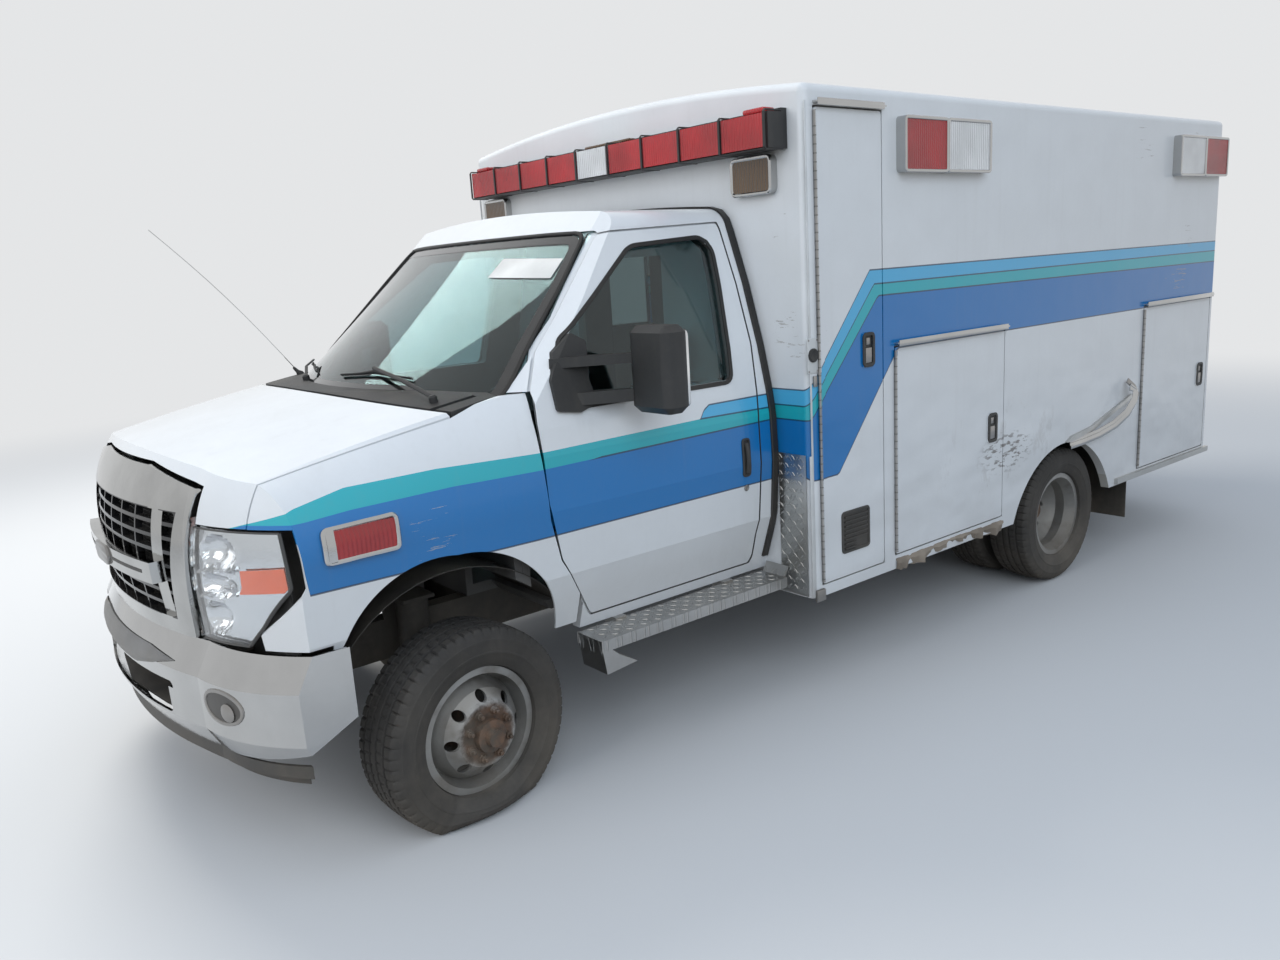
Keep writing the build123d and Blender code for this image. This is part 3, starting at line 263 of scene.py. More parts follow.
class Effects:
    """Shader groups that more than one finish uses, each built once."""

    built: Effects | None = None

    def __init__(self) -> None:
        """Builds every group."""
        self.dust = self.make_dust()
        self.scratches = self.make_scratches()
        self.tread = self.make_tread()
        self.radial = self.make_radial()

    @classmethod
    def shared(cls) -> Effects:
        """Gives the one set of groups that every finish uses."""
        if cls.built is None:
            cls.built = cls()
        return cls.built

    @staticmethod
    def start(name: str, inputs: dict[str, object], outputs: Sequence[str]) -> tuple[Net, Node, Node]:
        """Opens an empty group.

        Args:
            name: name of the group.
            inputs: default by name; a tuple makes a vector input.
            outputs: names of its values.

        Returns:
            The net, the group's input node and its output node.
        """
        tree = bpy.data.node_groups.new(name, "ShaderNodeTree")
        for key, value in inputs.items():
            kind = "NodeSocketVector" if isinstance(value, tuple) else "NodeSocketFloat"
            tree.interface.new_socket(key, in_out="INPUT", socket_type=kind).default_value = value
        for key in outputs:
            tree.interface.new_socket(key, in_out="OUTPUT", socket_type="NodeSocketFloat")
        net = Net(tree)
        return net, net.add("NodeGroupInput"), net.add("NodeGroupOutput")

    def make_dust(self) -> bpy.types.NodeTree:
        """Builds road dust: thick near the ground and on ledges, with thin runs below.

        Returns:
            The group.
        """
        net, given, put = self.start("Road dust", {"Amount": 0.5, "Top": 0.8}, ["Mask"])
        point, facing = net.rest()
        height = net.split(point)[2]
        up = net.span(net.split(facing)[2], 0.5, 1.0, 0.0, 0.35)
        splash = net.minus(1.0, net.math("DIVIDE", height, given.outputs["Top"]), clamp=True)
        cloud = net.span(net.noise(point, 3.2, 6.0, 0.62), 0.3, 0.75)
        speck = net.span(net.noise(point, 46.0, 4.0, 0.7), 0.42, 0.8)
        runs = net.span(net.noise(net.stretch(point, (26.0, 26.0, 1.2)), 1.0, 3.0), 0.52, 0.8)
        low = net.times(net.math("POWER", splash, 1.4), net.plus(cloud, 0.35))
        high = net.plus(net.times(up, cloud), net.times(runs, 0.12))
        total = net.plus(net.plus(low, high), net.times(speck, 0.08))
        net.feed(put.inputs["Mask"], net.times(total, given.outputs["Amount"], clamp=True))
        return net.tree

    def make_scratches(self) -> bpy.types.NodeTree:
        """Builds fine scratches that run along the vehicle.

        Returns:
            The group.
        """
        net, given, put = self.start("Scratches", {"Scale": 10.0, "Density": 0.5}, ["Mask"])
        point, _ = net.rest()
        scaled = net.add("VectorMath", operation="SCALE")
        net.fit(scaled, Vector=net.stretch(point, (0.6, 1.0, 7.0)), Scale=given.outputs["Scale"])
        lines = net.noise(scaled.outputs[0], 1.0, 7.0, 0.75)
        patches = net.noise(point, 2.3, 2.0)
        level = net.minus(0.86, net.times(given.outputs["Density"], 0.3))
        cut = net.math("GREATER_THAN", net.times(net.plus(lines, patches), 0.62), level)
        net.feed(put.inputs["Mask"], cut)
        return net.tree

    def make_tread(self) -> bpy.types.NodeTree:
        """Builds the raised lozenges of tread plate from a flat pair of coordinates.

        Returns:
            The group.
        """
        net, given, put = self.start("Tread plate", {"Across": (0.0, 0.0, 0.0), "Pitch": 0.03}, ["Height"])
        first, second, _ = net.split(given.outputs["Across"])
        cells = []
        for value in (first, second):
            scaled = net.math("DIVIDE", value, given.outputs["Pitch"])
            cells.append((net.math("FLOOR", scaled), net.minus(net.math("FRACT", scaled), 0.5)))
        parity = net.math("MODULO", net.plus(net.plus(cells[0][0], cells[1][0]), 1000.0), 2.0)
        turn = net.minus(net.times(parity, 2.0), 1.0)
        other = net.times(cells[1][1], turn)
        long_way = net.times(net.plus(cells[0][1], other), 1.25)
        short_way = net.times(net.minus(cells[0][1], other), 4.6)
        reach = net.plus(net.square(long_way), net.square(short_way))
        net.feed(put.inputs["Height"], net.span(reach, 0.62, 0.3))
        return net.tree

    def make_radial(self) -> bpy.types.NodeTree:
        """Builds the distance of a point from a wheel's axis.

        Returns:
            The group.
        """
        given_values = {"Centre": (0.0, 0.0, 0.0), "Axis": (0.0, 1.0, 0.0)}
        net, given, put = self.start("From the axis", given_values, ["Radius"])
        reach = net.vector("SUBTRACT", net.rest()[0], given.outputs["Centre"]).outputs[0]
        aside = net.vector("CROSS_PRODUCT", reach, given.outputs["Axis"]).outputs[0]
        size = net.step("VectorMath", (aside,), operation="LENGTH")
        net.feed(put.inputs["Radius"], size.outputs["Value"])
        return net.tree


def opened(name: str) -> tuple[Material, Net, Node]:
    """Makes a material and gives it with its net of nodes and its shader."""
    made = bpy.data.materials.new(name)
    made.use_nodes = True
    return made, Net(made.node_tree), made.node_tree.nodes["Principled BSDF"]


@dataclass(frozen=True)
class Finish:
    """A finish with uneven colour, grain, road dust and scratches.

    Attributes:
        coat: weight of a clear coat.
        dust: how much road dust lies on it.
        dust_top: height in metres that the splashed dust reaches.
        grain: scale of the surface grain.
        depth: height of the grain, in metres.
        uneven: how far the colour varies.
        scratch: density of scratches.
        scratch_tint: colour that the scratches show.
    """

    name: str
    tint: Tint
    rough: float = 0.5
    metal: float = 0.0
    coat: float = 0.0
    dust: float = 0.4
    dust_top: float = 1.0
    grain: float = 250.0
    depth: float = 0.0001
    uneven: float = 0.12
    scratch: float = 0.0
    scratch_tint: Tint = (0.18, 0.17, 0.16)

    def colour(self, net: Net) -> Socket:
        """Wires the clean colour; finishes with a pattern replace this."""
        point, _ = net.rest()
        shade = net.span(net.noise(point, 5.0, 6.0), 0.25, 0.8)
        dark = tuple(channel * (1 - 2 * self.uneven) for channel in self.tint)
        return net.mix(shade, dark, self.tint)

    def height(self, net: Net) -> tuple[Socket, float]:
        """Wires the relief's height and gives its depth in metres; finishes with a pattern replace this."""
        point, _ = net.rest()
        return net.noise(point, self.grain, 4.0, 0.6), self.depth

    def metallic(self, net: Net) -> object:
        """Gives the metallic value or its socket."""
        return self.metal

    def build(self) -> Material:
        """Builds the material, or returns it if it is already there."""
        found = bpy.data.materials.get(self.name)
        if found:
            return found
        made, net, shader = opened(self.name)
        self.dress(net, shader)
        return made

    def dusted(self, net: Net) -> Socket:
        """Wires the mask of the road dust."""
        return net.group(Effects.shared().dust, Amount=self.dust, Top=self.dust_top).outputs["Mask"]

    def dress(self, net: Net, shader: Node) -> None:
        """Wires the inputs of the material's shader."""
        colour = self.colour(net)
        rough: object = self.rough
        if self.scratch:
            marks = net.group(Effects.shared().scratches, Scale=9.0, Density=self.scratch)
            colour = net.mix(net.times(marks.outputs["Mask"], 0.7), colour, self.scratch_tint)
        if self.dust:
            dust = self.dusted(net)
            colour = net.mix(net.times(dust, 0.85), colour, ROAD_DUST)
            rough = net.span(dust, 0.0, 0.8, self.rough, 0.85)
        relief, distance = self.height(net)
        bump = net.fit(net.add("Bump"), Height=relief, Distance=distance, Strength=1.0)
        net.fit(
            shader, Base_Color=colour, Roughness=rough, Metallic=self.metallic(net), Coat_Weight=self.coat,
            Coat_Roughness=0.06, Normal=bump.outputs[0],
        )


@dataclass(frozen=True)
class Lines:
    """Borders of the paint stripes, as heights over stations, and the half width of their dark outline."""

    light_top: Outline
    teal_top: Outline
    dark_top: Outline
    dark_bottom: Outline
    outline: float = 3.2


BOX_LINES = Lines(
    light_top=[(-5200, 1736), (-1851, 1730), (-1553, 1380), (-1465, 1277), (-1440, 1262)],
    teal_top=[(-5200, 1680), (-1878, 1673), (-1560, 1320), (-1469, 1218), (-1440, 1213)],
    dark_top=[(-5200, 1617), (-1904, 1625), (-1558, 1253), (-1484, 1168), (-1440, 1160)],
    dark_bottom=[(-5200, 1402), (-2034, 1400), (-1640, 926), (-1476, 924), (-1440, 1017)],
)
CAB_LINES = Lines(
    light_top=[(-1480, 1268), (-1123, 1267), (-1092, 1250), (-1073, 1224), (-1060, 1212), (700, 1000)],
    teal_top=[
        (-1480, 1214), (-1073, 1220), (-330, 1209), (43, 1220), (339, 1213), (500, 1180), (610, 1140), (700, 1100),
    ],
    dark_top=[(-1480, 1165), (-324, 1152), (0, 1158), (339, 1150), (480, 1140), (610, 1138), (700, 1095)],
    dark_bottom=[(-1480, 920), (-301, 916), (498, 926), (505, 1000), (516, 1118), (700, 1130)],
)


@dataclass(frozen=True)
class StripedPaint(Finish):
    """White vehicle paint with blue stripes, and a plain colour on its inner faces, which on the cab is a near-black
    painted shade of its inside.
    """

    lines: Lines = BOX_LINES
    centre: Point = (-3300.0, 0.0, 1500.0)
    inner: Tint = (0.5, 0.5, 0.48)
    dented: bool = False
    stripes: Sequence[Tint] = ((0.07, 0.42, 0.70), (0.01, 0.40, 0.47), (0.002, 0.165, 0.46))
    outline_tint: Tint = (0.01, 0.03, 0.07)
    curve_top: float = 3.0
    scrape: Flat = (-0.6, 0.815)
    scrape_half: Flat = (0.27, 0.12)

    def border(self, net: Net, station: Socket, points: Outline) -> Socket:
        """Wires a border's height over the station.

        Args:
            net: the material's tree.
            station: socket of the station, in metres.
            points: the border's corners.

        Returns:
            The socket of the height, in metres.
        """
        low, high = points[0][0], points[-1][0]
        span = net.step("MapRange", (station, low * MM, high * MM, 0.0, 1.0))
        curve = net.fit(net.add("FloatCurve"), Value=span.outputs[0])
        line = curve.mapping.curves[0]
        while len(line.points) < len(points):
            line.points.new(0.5, 0.5)
        for spot, (x, z) in zip(line.points, points):
            spot.location = ((x - low) / (high - low), z * MM / self.curve_top)
            spot.handle_type = "VECTOR"
        curve.mapping.update()
        return net.times(curve.outputs[0], self.curve_top)

    def colour(self, net: Net) -> Socket:
        """Wires the white, the stripes with their outlines, and the inner faces."""
        base = Finish.colour(self, net)
        point, facing = net.rest()
        x, _, z = net.split(point)
        station = net.minus(x, FRONT_AXLE * MM)
        lines = (self.lines.light_top, self.lines.teal_top, self.lines.dark_top, self.lines.dark_bottom)
        borders = [self.border(net, station, line) for line in lines]
        below = [net.step_below(z, border) for border in borders]
        film = base
        for mask, tint in zip(below, self.stripes):
            film = net.mix(mask, film, tint)
        film = net.mix(below[3], film, base)
        near = None
        for border, lower in zip(borders, [*borders[1:], -1.0]):
            thin = net.near(z, border, self.lines.outline * MM)
            thin = net.times(thin, net.math("GREATER_THAN", border, lower))
            near = thin if near is None else net.math("MAXIMUM", near, thin)
        inside_band = net.step_below(z, net.plus(borders[0], 0.003))
        above_end = net.math("GREATER_THAN", z, net.minus(borders[3], 0.003))
        edge = net.times(near, net.times(inside_band, above_end))
        film = net.mix(net.times(edge, 0.85), film, self.outline_tint)
        if self.dented:
            film = self.scraped(net, point, film)
        # Faces that look towards the centre take the inner colour; on the cab it is painted shade of the cab's
        # inside.
        arm = net.vector("SUBTRACT", point, place(*self.centre)).outputs[0]
        inward = net.vector("DOT_PRODUCT", arm, facing).outputs["Value"]
        return net.mix(net.step_below(inward, 0.0), film, self.inner)

    def scraped(self, net: Net, point: Socket, film: Socket) -> Socket:
        """Wires the bare metal of the scrape before the left rear arch, and faint rub marks round it.

        Args:
            net: the material's tree.
            point: socket of the position.
            film: socket of the paint's colour.

        Returns:
            The socket of the scraped colour.
        """
        x, y, z = net.split(point)
        across = net.math("DIVIDE", net.minus(x, self.scrape[0]), self.scrape_half[0])
        upright = net.math("DIVIDE", net.minus(z, self.scrape[1]), self.scrape_half[1])
        away = net.plus(net.square(across), net.square(upright))
        left = net.math("GREATER_THAN", y, 0.0)
        streaks = net.noise(net.stretch(point, (1.0, 1.0, 3.2)), 16.0, 5.0, 0.6)
        bare = net.times(net.times(net.span(away, 1.0, 0.1), left), net.span(streaks, 0.52, 0.58))
        blots = net.noise(net.stretch(point, (1.0, 1.0, 0.5)), 9.0, 6.0, 0.7)
        rubbed = net.times(net.times(net.span(away, 7.0, 0.5), left), net.span(blots, 0.56, 0.66))
        film = net.mix(net.times(rubbed, 0.35), film, (0.42, 0.41, 0.4))
        return net.mix(net.times(bare, 0.9), film, (0.17, 0.155, 0.145))

    def height(self, net: Net) -> tuple[Socket, float]:
        """Wires slow waves in the sheet, deeper low down on a dented side."""
        point, _ = net.rest()
        waves = net.noise(net.stretch(point, (1.0, 1.0, 1.6)), 2.6, 2.0, 0.4)
        if not self.dented:
            return waves, 0.004
        height = net.split(point)[2]
        low = net.span(height, 1.5, 0.6, 0.25, 1.0)
        return net.times(waves, low), 0.03


@dataclass(frozen=True)
class Glass(Finish):
    """Clear or tinted glass and lens plastic."""

    bend: float = 1.12

    def dress(self, net: Net, shader: Node) -> None:
        """Wires the see-through shader with its film of dust."""
        dust = self.dusted(net)
        net.fit(
            shader, Base_Color=net.mix(net.times(dust, 0.5), self.tint, (0.5, 0.46, 0.4)),
            Roughness=net.span(dust, 0.0, 1.0, self.rough, 0.5), Transmission_Weight=1.0, IOR=self.bend,
            Coat_Weight=1.0, Coat_Roughness=0.02,
        )


@dataclass(frozen=True)
class RibbedLens(Finish):
    """Coloured lens plastic with moulded ribs across its face."""

    pitch: float = 0.014
    rib: float = 0.0012

    def height(self, net: Net) -> tuple[Socket, float]:
        """Wires the ribs."""
        point, _ = net.rest()
        x, y, _ = net.split(point)
        wave = net.math("SINE", net.times(net.plus(x, y), 2 * math.pi / self.pitch))
        return wave, self.rib


@dataclass(frozen=True)
class TreadPlate(Finish):
    """Bare aluminium tread plate."""

    view: View = View.LEVEL
    pitch: float = 0.032
    rise: float = 0.0035

    def height(self, net: Net) -> tuple[Socket, float]:
        """Wires the raised lozenges."""
        point, _ = net.rest()
        x, y, z = net.split(point)
        first, second = (x, y) if self.view is View.LEVEL else (y, z)
        flat = net.fit(net.add("CombineXYZ"), X=first, Y=second)
        plate = net.group(Effects.shared().tread, Across=flat.outputs[0], Pitch=self.pitch)
        return plate.outputs["Height"], self.rise


@dataclass(frozen=True)
class WheelPaint(Finish):
    """Silver wheel paint that rusts towards the hub."""

    centre: Point = (0.0, 0.0, 0.0)
    axis: Point = (0.0, 1.0, 0.0)
    rust_to: float = 0.1

    def radius(self, net: Net) -> Socket:
        """Wires the distance from the wheel's axis."""
        placed = net.group(Effects.shared().radial, Centre=place(*self.centre), Axis=Vector(self.axis))
        return placed.outputs["Radius"]

    def colour(self, net: Net) -> Socket:
        """Wires silver with rust at the hub and dirt in the wheel's well."""
        base = Finish.colour(self, net)
        point, _ = net.rest()
        radius = self.radius(net)
        cloud = net.noise(point, 24.0, 6.0, 0.65)
        ragged = net.plus(radius, net.times(net.minus(cloud, 0.5), 0.07))
        rust = net.span(ragged, self.rust_to + 0.01, self.rust_to - 0.02)
        brown = net.mix(net.span(cloud, 0.35, 0.7), (0.035, 0.022, 0.016), (0.13, 0.06, 0.03))
        grimy = net.mix(net.span(net.noise(point, 9.0, 5.0), 0.45, 0.75, 0.0, 0.6), base, (0.1, 0.085, 0.07))
        return net.mix(rust, grimy, brown)

    def metallic(self, net: Net) -> object:
        """Gives the metallic value, which falls to none on the rust."""
        radius = self.radius(net)
        return net.span(radius, self.rust_to - 0.01, self.rust_to + 0.02, 0.1, self.metal)


@dataclass(frozen=True)
class GrillePlating(Finish):
    """Chrome on the surround, posts and crossbar, and black plastic on the mesh."""

    def face(self, net: Net) -> Socket:
        """Wires the mask of the black mesh."""
        point, _ = net.rest()
        _, y, z = net.split(point)
        aside = net.math("ABSOLUTE", y)
        edge = net.plus(0.486, net.times(net.minus(z, 0.8), 0.2))
        inside = net.times(net.step_below(aside, edge), net.near(z, 0.975, 0.178))
        bar = net.times(net.near(z, 0.95, 0.037), net.step_below(aside, 0.445))
        post = net.near(aside, 0.42, 0.035)
        return net.times(inside, net.minus(1.0, net.math("MAXIMUM", bar, post)))

    def colour(self, net: Net) -> Socket:
        """Wires the chrome and the black."""
        return net.mix(self.face(net), Finish.colour(self, net), (0.012, 0.012, 0.013))

    def metallic(self, net: Net) -> object:
        """Gives the metallic value, none on the mesh."""
        return net.minus(1.0, self.face(net))


# ---- finishes

# Its inner colour is near black: painted shade of the cab's inside, seen through the windows.
CAB_PAINT = StripedPaint(
    "cab paint", (0.72, 0.745, 0.77), rough=0.28, coat=0.6, dust=0.35, dust_top=0.9, uneven=0.015, scratch=0.06,
    scratch_tint=(0.4, 0.4, 0.38), lines=CAB_LINES, centre=(-700.0, 0.0, 1200.0), inner=(0.07, 0.07, 0.07),
)
BOX_PAINT = StripedPaint(
    "box paint", (0.72, 0.745, 0.77), rough=0.3, coat=0.5, dust=0.35, dust_top=0.95, uneven=0.02, scratch=0.1,
    scratch_tint=(0.3, 0.28, 0.26), inner=(0.55, 0.55, 0.53), dented=True,
)
CHROME = Finish(
    "chrome", (0.52, 0.52, 0.515), rough=0.07, metal=1.0, dust=0.15, dust_top=0.9, grain=90.0, depth=0.0003,
    uneven=0.06,
)
DULL_CHROME = Finish(
    "dull chrome", (0.4, 0.39, 0.38), rough=0.3, metal=1.0, dust=0.55, dust_top=1.1, grain=60.0, depth=0.0006,
    uneven=0.15,
)
BLACK_PLASTIC = Finish(
    "black plastic", (0.028, 0.029, 0.03), rough=0.5, dust=0.4, dust_top=1.5, grain=600.0, depth=0.0004,
)
GREY_PLASTIC = Finish("grey plastic", (0.1, 0.1, 0.1), rough=0.6, dust=0.4, dust_top=1.2, grain=500.0, depth=0.0004)
TYRE_RUBBER = Finish(
    "tyre rubber", (0.036, 0.036, 0.037), rough=0.82, dust=0.42, dust_top=0.9, grain=150.0, depth=0.0006,
    uneven=0.2,
)
CHASSIS_BLACK = Finish(
    "chassis black", (0.03, 0.028, 0.026), rough=0.65, dust=0.8, dust_top=1.0, grain=80.0, depth=0.001,
    uneven=0.25,
)
UNDER_STEEL = Finish(
    "underbody steel", (0.2, 0.16, 0.13), rough=0.6, metal=0.5, dust=0.6, grain=60.0, depth=0.0012, uneven=0.3,
)
CAST = Finish("casting", (0.16, 0.155, 0.15), rough=0.6, metal=0.4, dust=0.5, grain=120.0, depth=0.0015, uneven=0.25)
ALUMINIUM = Finish("aluminium sheet", (0.5, 0.5, 0.5), rough=0.38, metal=0.9, dust=0.35, grain=200.0, depth=0.0002)
EXTRUSION = Finish(
    "aluminium extrusion", (0.62, 0.62, 0.6), rough=0.28, metal=1.0, dust=0.3, dust_top=0.9, grain=120.0,
    depth=0.0002, uneven=0.08,
)
LAMINATE = Finish("cabinet laminate", (0.52, 0.5, 0.45), rough=0.5, dust=0.1, grain=400.0)
CLOTH = Finish("seat cloth", (0.09, 0.09, 0.1), rough=0.95, dust=0.1, grain=900.0, depth=0.001)
FLAP = Finish("flap rubber", (0.02, 0.02, 0.02), rough=0.8, dust=0.8, dust_top=0.7, grain=60.0, depth=0.001)
WINDOW = Glass("window glass", (0.3, 0.45, 0.47), rough=0.02, dust=0.2, dust_top=2.2)
DARK_WINDOW = Glass("dark window glass", (0.2, 0.22, 0.22), rough=0.02, dust=0.2, dust_top=2.2)
CLEAR_LENS = Glass("clear lens", (0.95, 0.97, 0.98), rough=0.03, dust=0.15, dust_top=1.0)
RED_LENS = RibbedLens("red lens", (0.5, 0.008, 0.016), rough=0.14, coat=0.5, dust=0.12, dust_top=2.4, uneven=0.2)
WHITE_LENS = RibbedLens("white lens", (0.82, 0.84, 0.86), rough=0.12, metal=0.25, coat=0.9, dust=0.2, dust_top=2.4)
AMBER_LENS = RibbedLens("amber lens", (0.11, 0.055, 0.018), rough=0.15, coat=0.8, dust=0.2, dust_top=2.2)
LEVEL_TREAD = TreadPlate(
    "tread plate level", (0.58, 0.575, 0.56), rough=0.33, metal=1.0, dust=0.5, dust_top=0.8, view=View.LEVEL,
)
UPRIGHT_TREAD = TreadPlate(
    "tread plate upright", (0.62, 0.62, 0.6), rough=0.3, metal=1.0, dust=0.35, dust_top=0.9, view=View.ACROSS,
)
MIRROR_GLASS = Finish("mirror glass", (0.85, 0.87, 0.88), rough=0.02, metal=1.0, dust=0.15, dust_top=2.0, depth=0.0)
BLANK_LABEL = Finish("blank label", (0.78, 0.78, 0.76), rough=0.7, dust=0.15, dust_top=2.0)
SEAL = Finish("window seal", (0.012, 0.012, 0.013), rough=0.45, dust=0.25, dust_top=2.0, grain=400.0, depth=0.0002)
GLASS_BAND = Finish("glass border", (0.008, 0.009, 0.01), rough=0.12, coat=0.8, dust=0.15, dust_top=2.0, depth=0.0)
REFLECTOR = Finish(
    "lamp reflector", (0.66, 0.67, 0.69), rough=0.06, metal=1.0, dust=0.0, uneven=0.03, grain=30.0,
    depth=0.0015,
)
MARKER_AMBER = Finish("side marker", (0.85, 0.13, 0.03), rough=0.2, coat=0.8, dust=0.1, uneven=0.15)
DARK_TRIM = Finish("lamp trim", (0.055, 0.055, 0.055), rough=0.4, dust=0.3, dust_top=1.2)
PAD_GREY = Finish(
    "bumper pad", (0.2, 0.2, 0.2), rough=0.45, dust=0.6, dust_top=1.2, grain=300.0, depth=0.0004, uneven=0.2,
)
GRILLE_PLATING = GrillePlating(
    "grille plating", (0.5, 0.5, 0.49), rough=0.08, metal=1.0, dust=0.3, dust_top=0.9, grain=90.0, depth=0.0003,
)
BENT_SKIRT = Finish(
    "bent skirt", (0.42, 0.36, 0.3), rough=0.6, metal=0.3, dust=0.8, grain=40.0, depth=0.001, uneven=0.35,
    scratch=0.4, scratch_tint=(0.12, 0.05, 0.03),
)
WHITE_PLATE = Finish("painted plate", (0.7, 0.72, 0.73), rough=0.4, coat=0.3, dust=0.2, dust_top=2.0, depth=0.0001)


# ---- shapes


class Shape:
    """A mesh in the making, drawn in millimetres from the front axle."""

    def __init__(self) -> None:
        """Starts with no faces."""
        self.mesh = bmesh.new()

    def soften(self, faces: Iterable[bmesh.types.BMFace], width: float) -> None:
        """Rounds every sharp edge of some faces."""
        edges = {edge for face in faces for edge in face.edges if len(edge.link_faces) == 2}
        sharp = [edge for edge in edges if edge.calc_face_angle(0.0) > 0.4]
        if width and sharp:
            bmesh.ops.bevel(
                self.mesh, geom=sharp, offset=width * MM, segments=2, profile=0.5, affect="EDGES", clamp_overlap=True,
            )

    def fill(self, rings: list[list[bmesh.types.BMVert]], closed: bool, whole: bool) -> list[bmesh.types.BMFace]:
        """Fills the runs between neighbouring rings with four-sided faces.

        Args:
            rings: rings of corners, all of one length.
            closed: joins the last ring to the first.
            whole: joins the end of each ring to its start.

        Returns:
            The faces.
        """
        count, width = len(rings), len(rings[0])
        faces = []
        for index in range(count if closed else count - 1):
            ring, following = rings[index], rings[(index + 1) % count]
            for spot in range(width if whole else width - 1):
                after = (spot + 1) % width
                faces.append(self.mesh.faces.new((ring[spot], ring[after], following[after], following[spot])))
        return faces

    def prism(self, outline: Outline, view: View, near: float, far: float, soft: float = 0.0) -> Shape:
        """Runs a closed outline along the axis that its view leaves out.

        Args:
            outline: corners, in the order they follow each other.
            view: plane of the drawing.
            near: start along the axis.
            far: end along the axis.
            soft: radius of the rounded edges.

        Returns:
            The shape itself.
        """
        rings = [[self.mesh.verts.new(lifted(view, a, b, along)) for a, b in outline] for along in (near, far)]
        faces = [self.mesh.faces.new(rings[0]), self.mesh.faces.new(rings[1][::-1])]
        faces += self.fill(rings, False, True)
        bmesh.ops.recalc_face_normals(self.mesh, faces=faces)
        self.soften(faces, soft)
        return self

    def block(self, low: Point, high: Point, soft: float = 0.0) -> Shape:
        """Adds a block between two corners, with rounded edges."""
        outline = rectangle((low[0], high[0]), (low[1], high[1]))
        return self.prism(outline, View.LEVEL, low[2], high[2], soft)

    def turned(self, profile: Outline, centre: Vector, axis: Vector, steps: int = 32) -> Shape:
        """Turns a profile about an axis.

        Args:
            profile: pairs of distance along the axis and radius.
            centre: origin of the axis, in metres.
            axis: direction of the axis.
            steps: faces round the axis.

        Returns:
            The shape itself.
        """
        axis = axis.normalized()
        side = axis.orthogonal().normalized()
        other = axis.cross(side)
        rings = []
        for step in range(steps):
            angle = 2 * math.pi * step / steps
            spoke = side * math.cos(angle) + other * math.sin(angle)
            spots = [centre + axis * along * MM + spoke * radius * MM for along, radius in profile]
            rings.append([self.mesh.verts.new(spot) for spot in spots])
        faces = self.fill(rings, True, False)
        for end in (0, -1):
            if profile[end][1] > 1e-6:
                faces.append(self.mesh.faces.new([ring[end] for ring in rings]))
        bmesh.ops.recalc_face_normals(self.mesh, faces=faces)
        return self

    def tube(
        self, path: Sequence[Vector], width: float, height: float | None = None, up: Vector | None = None,
        steps: int = 10,
    ) -> Shape:
        """Sweeps an oval along a path; its height is its width if none is given."""
        angles = [2 * math.pi * step / steps for step in range(steps)]
        section = [(math.cos(angle) * width / 2, math.sin(angle) * (height or width) / 2) for angle in angles]
        return self.sweep(path, section, up)

    def laid(self, line: Sequence[SkinPoint], section: Outline, closed: bool = True) -> Shape:
        """Sweeps a section along a line of points on a surface, upright on it everywhere."""
        return self.sweep([spot for spot, _ in line], section, [facing for _, facing in line], closed)

    def sweep(self, path: Sequence[Vector], section: Outline, up: object = None, closed: bool = False) -> Shape:
        """Sweeps a section along a path.

        Args:
            path: points in metres.
            section: pairs across the path and along the up direction, in millimetres.
            up: one direction, or one for each point; worked out if none.
            closed: joins the end to the start.

        Returns:
            The shape itself.
        """
        count = len(path)
        rings = []
        last_up = None
        for index, point in enumerate(path):
            before = path[index - 1] if index or closed else point
            after = path[(index + 1) % count] if index < count - 1 or closed else point
            along = (after - before).normalized()
            wanted = up[index] if isinstance(up, (list, tuple)) else up
            if wanted is None:
                wanted = last_up if last_up is not None else along.orthogonal()
            level = (wanted - along * wanted.dot(along)).normalized()
            last_up = level
            across = along.cross(level)
            rings.append([self.mesh.verts.new(point + across * a * MM + level * b * MM) for a, b in section])
        faces = self.fill(rings, closed, True)
        if not closed:
            faces.append(self.mesh.faces.new(rings[0][::-1]))
            faces.append(self.mesh.faces.new(rings[-1]))
        bmesh.ops.recalc_face_normals(self.mesh, faces=faces)
        return self

    def sheet(self, rows: Sequence[Sequence[Vector]], thickness: float, round_trip: bool = False) -> Shape:
        """Skins a grid of points and gives the skin a thickness.

        Args:
            rows: rows of points in metres, all of one length.
            thickness: thickness of the skin; none leaves it thin.
            round_trip: joins the last row to the first.

        Returns:
            The shape itself.
        """
        grid = [[self.mesh.verts.new(point) for point in row] for row in rows]
        faces = self.fill(grid, round_trip, False)
        bmesh.ops.recalc_face_normals(self.mesh, faces=faces)
        if thickness:
            bmesh.ops.solidify(self.mesh, geom=faces, thickness=thickness * MM)
        return self

    def put(self, name: str, finish: Finish, body: str = ROOT, smooth: float = 35.0) -> bpy.types.Object:
        """Turns the mesh into a piece that rides on a body.

        Args:
            name: name of the piece.
            finish: its finish.
            body: CAD body that carries it.
            smooth: edges sharper than this many degrees stay sharp.

        Returns:
            The piece.
        """
        data = bpy.data.meshes.new(name)
        self.mesh.to_mesh(data)
        self.mesh.free()
        data.shade_smooth()
        data.set_sharp_from_angle(angle=math.radians(smooth))
        data.materials.append(finish.build())
        made = bpy.data.objects.new(name, data)
        bpy.context.scene.collection.objects.link(made)
        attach(made, body)
        LOG.info("%s: %d faces on %s", name, len(data.polygons), body)
        return made


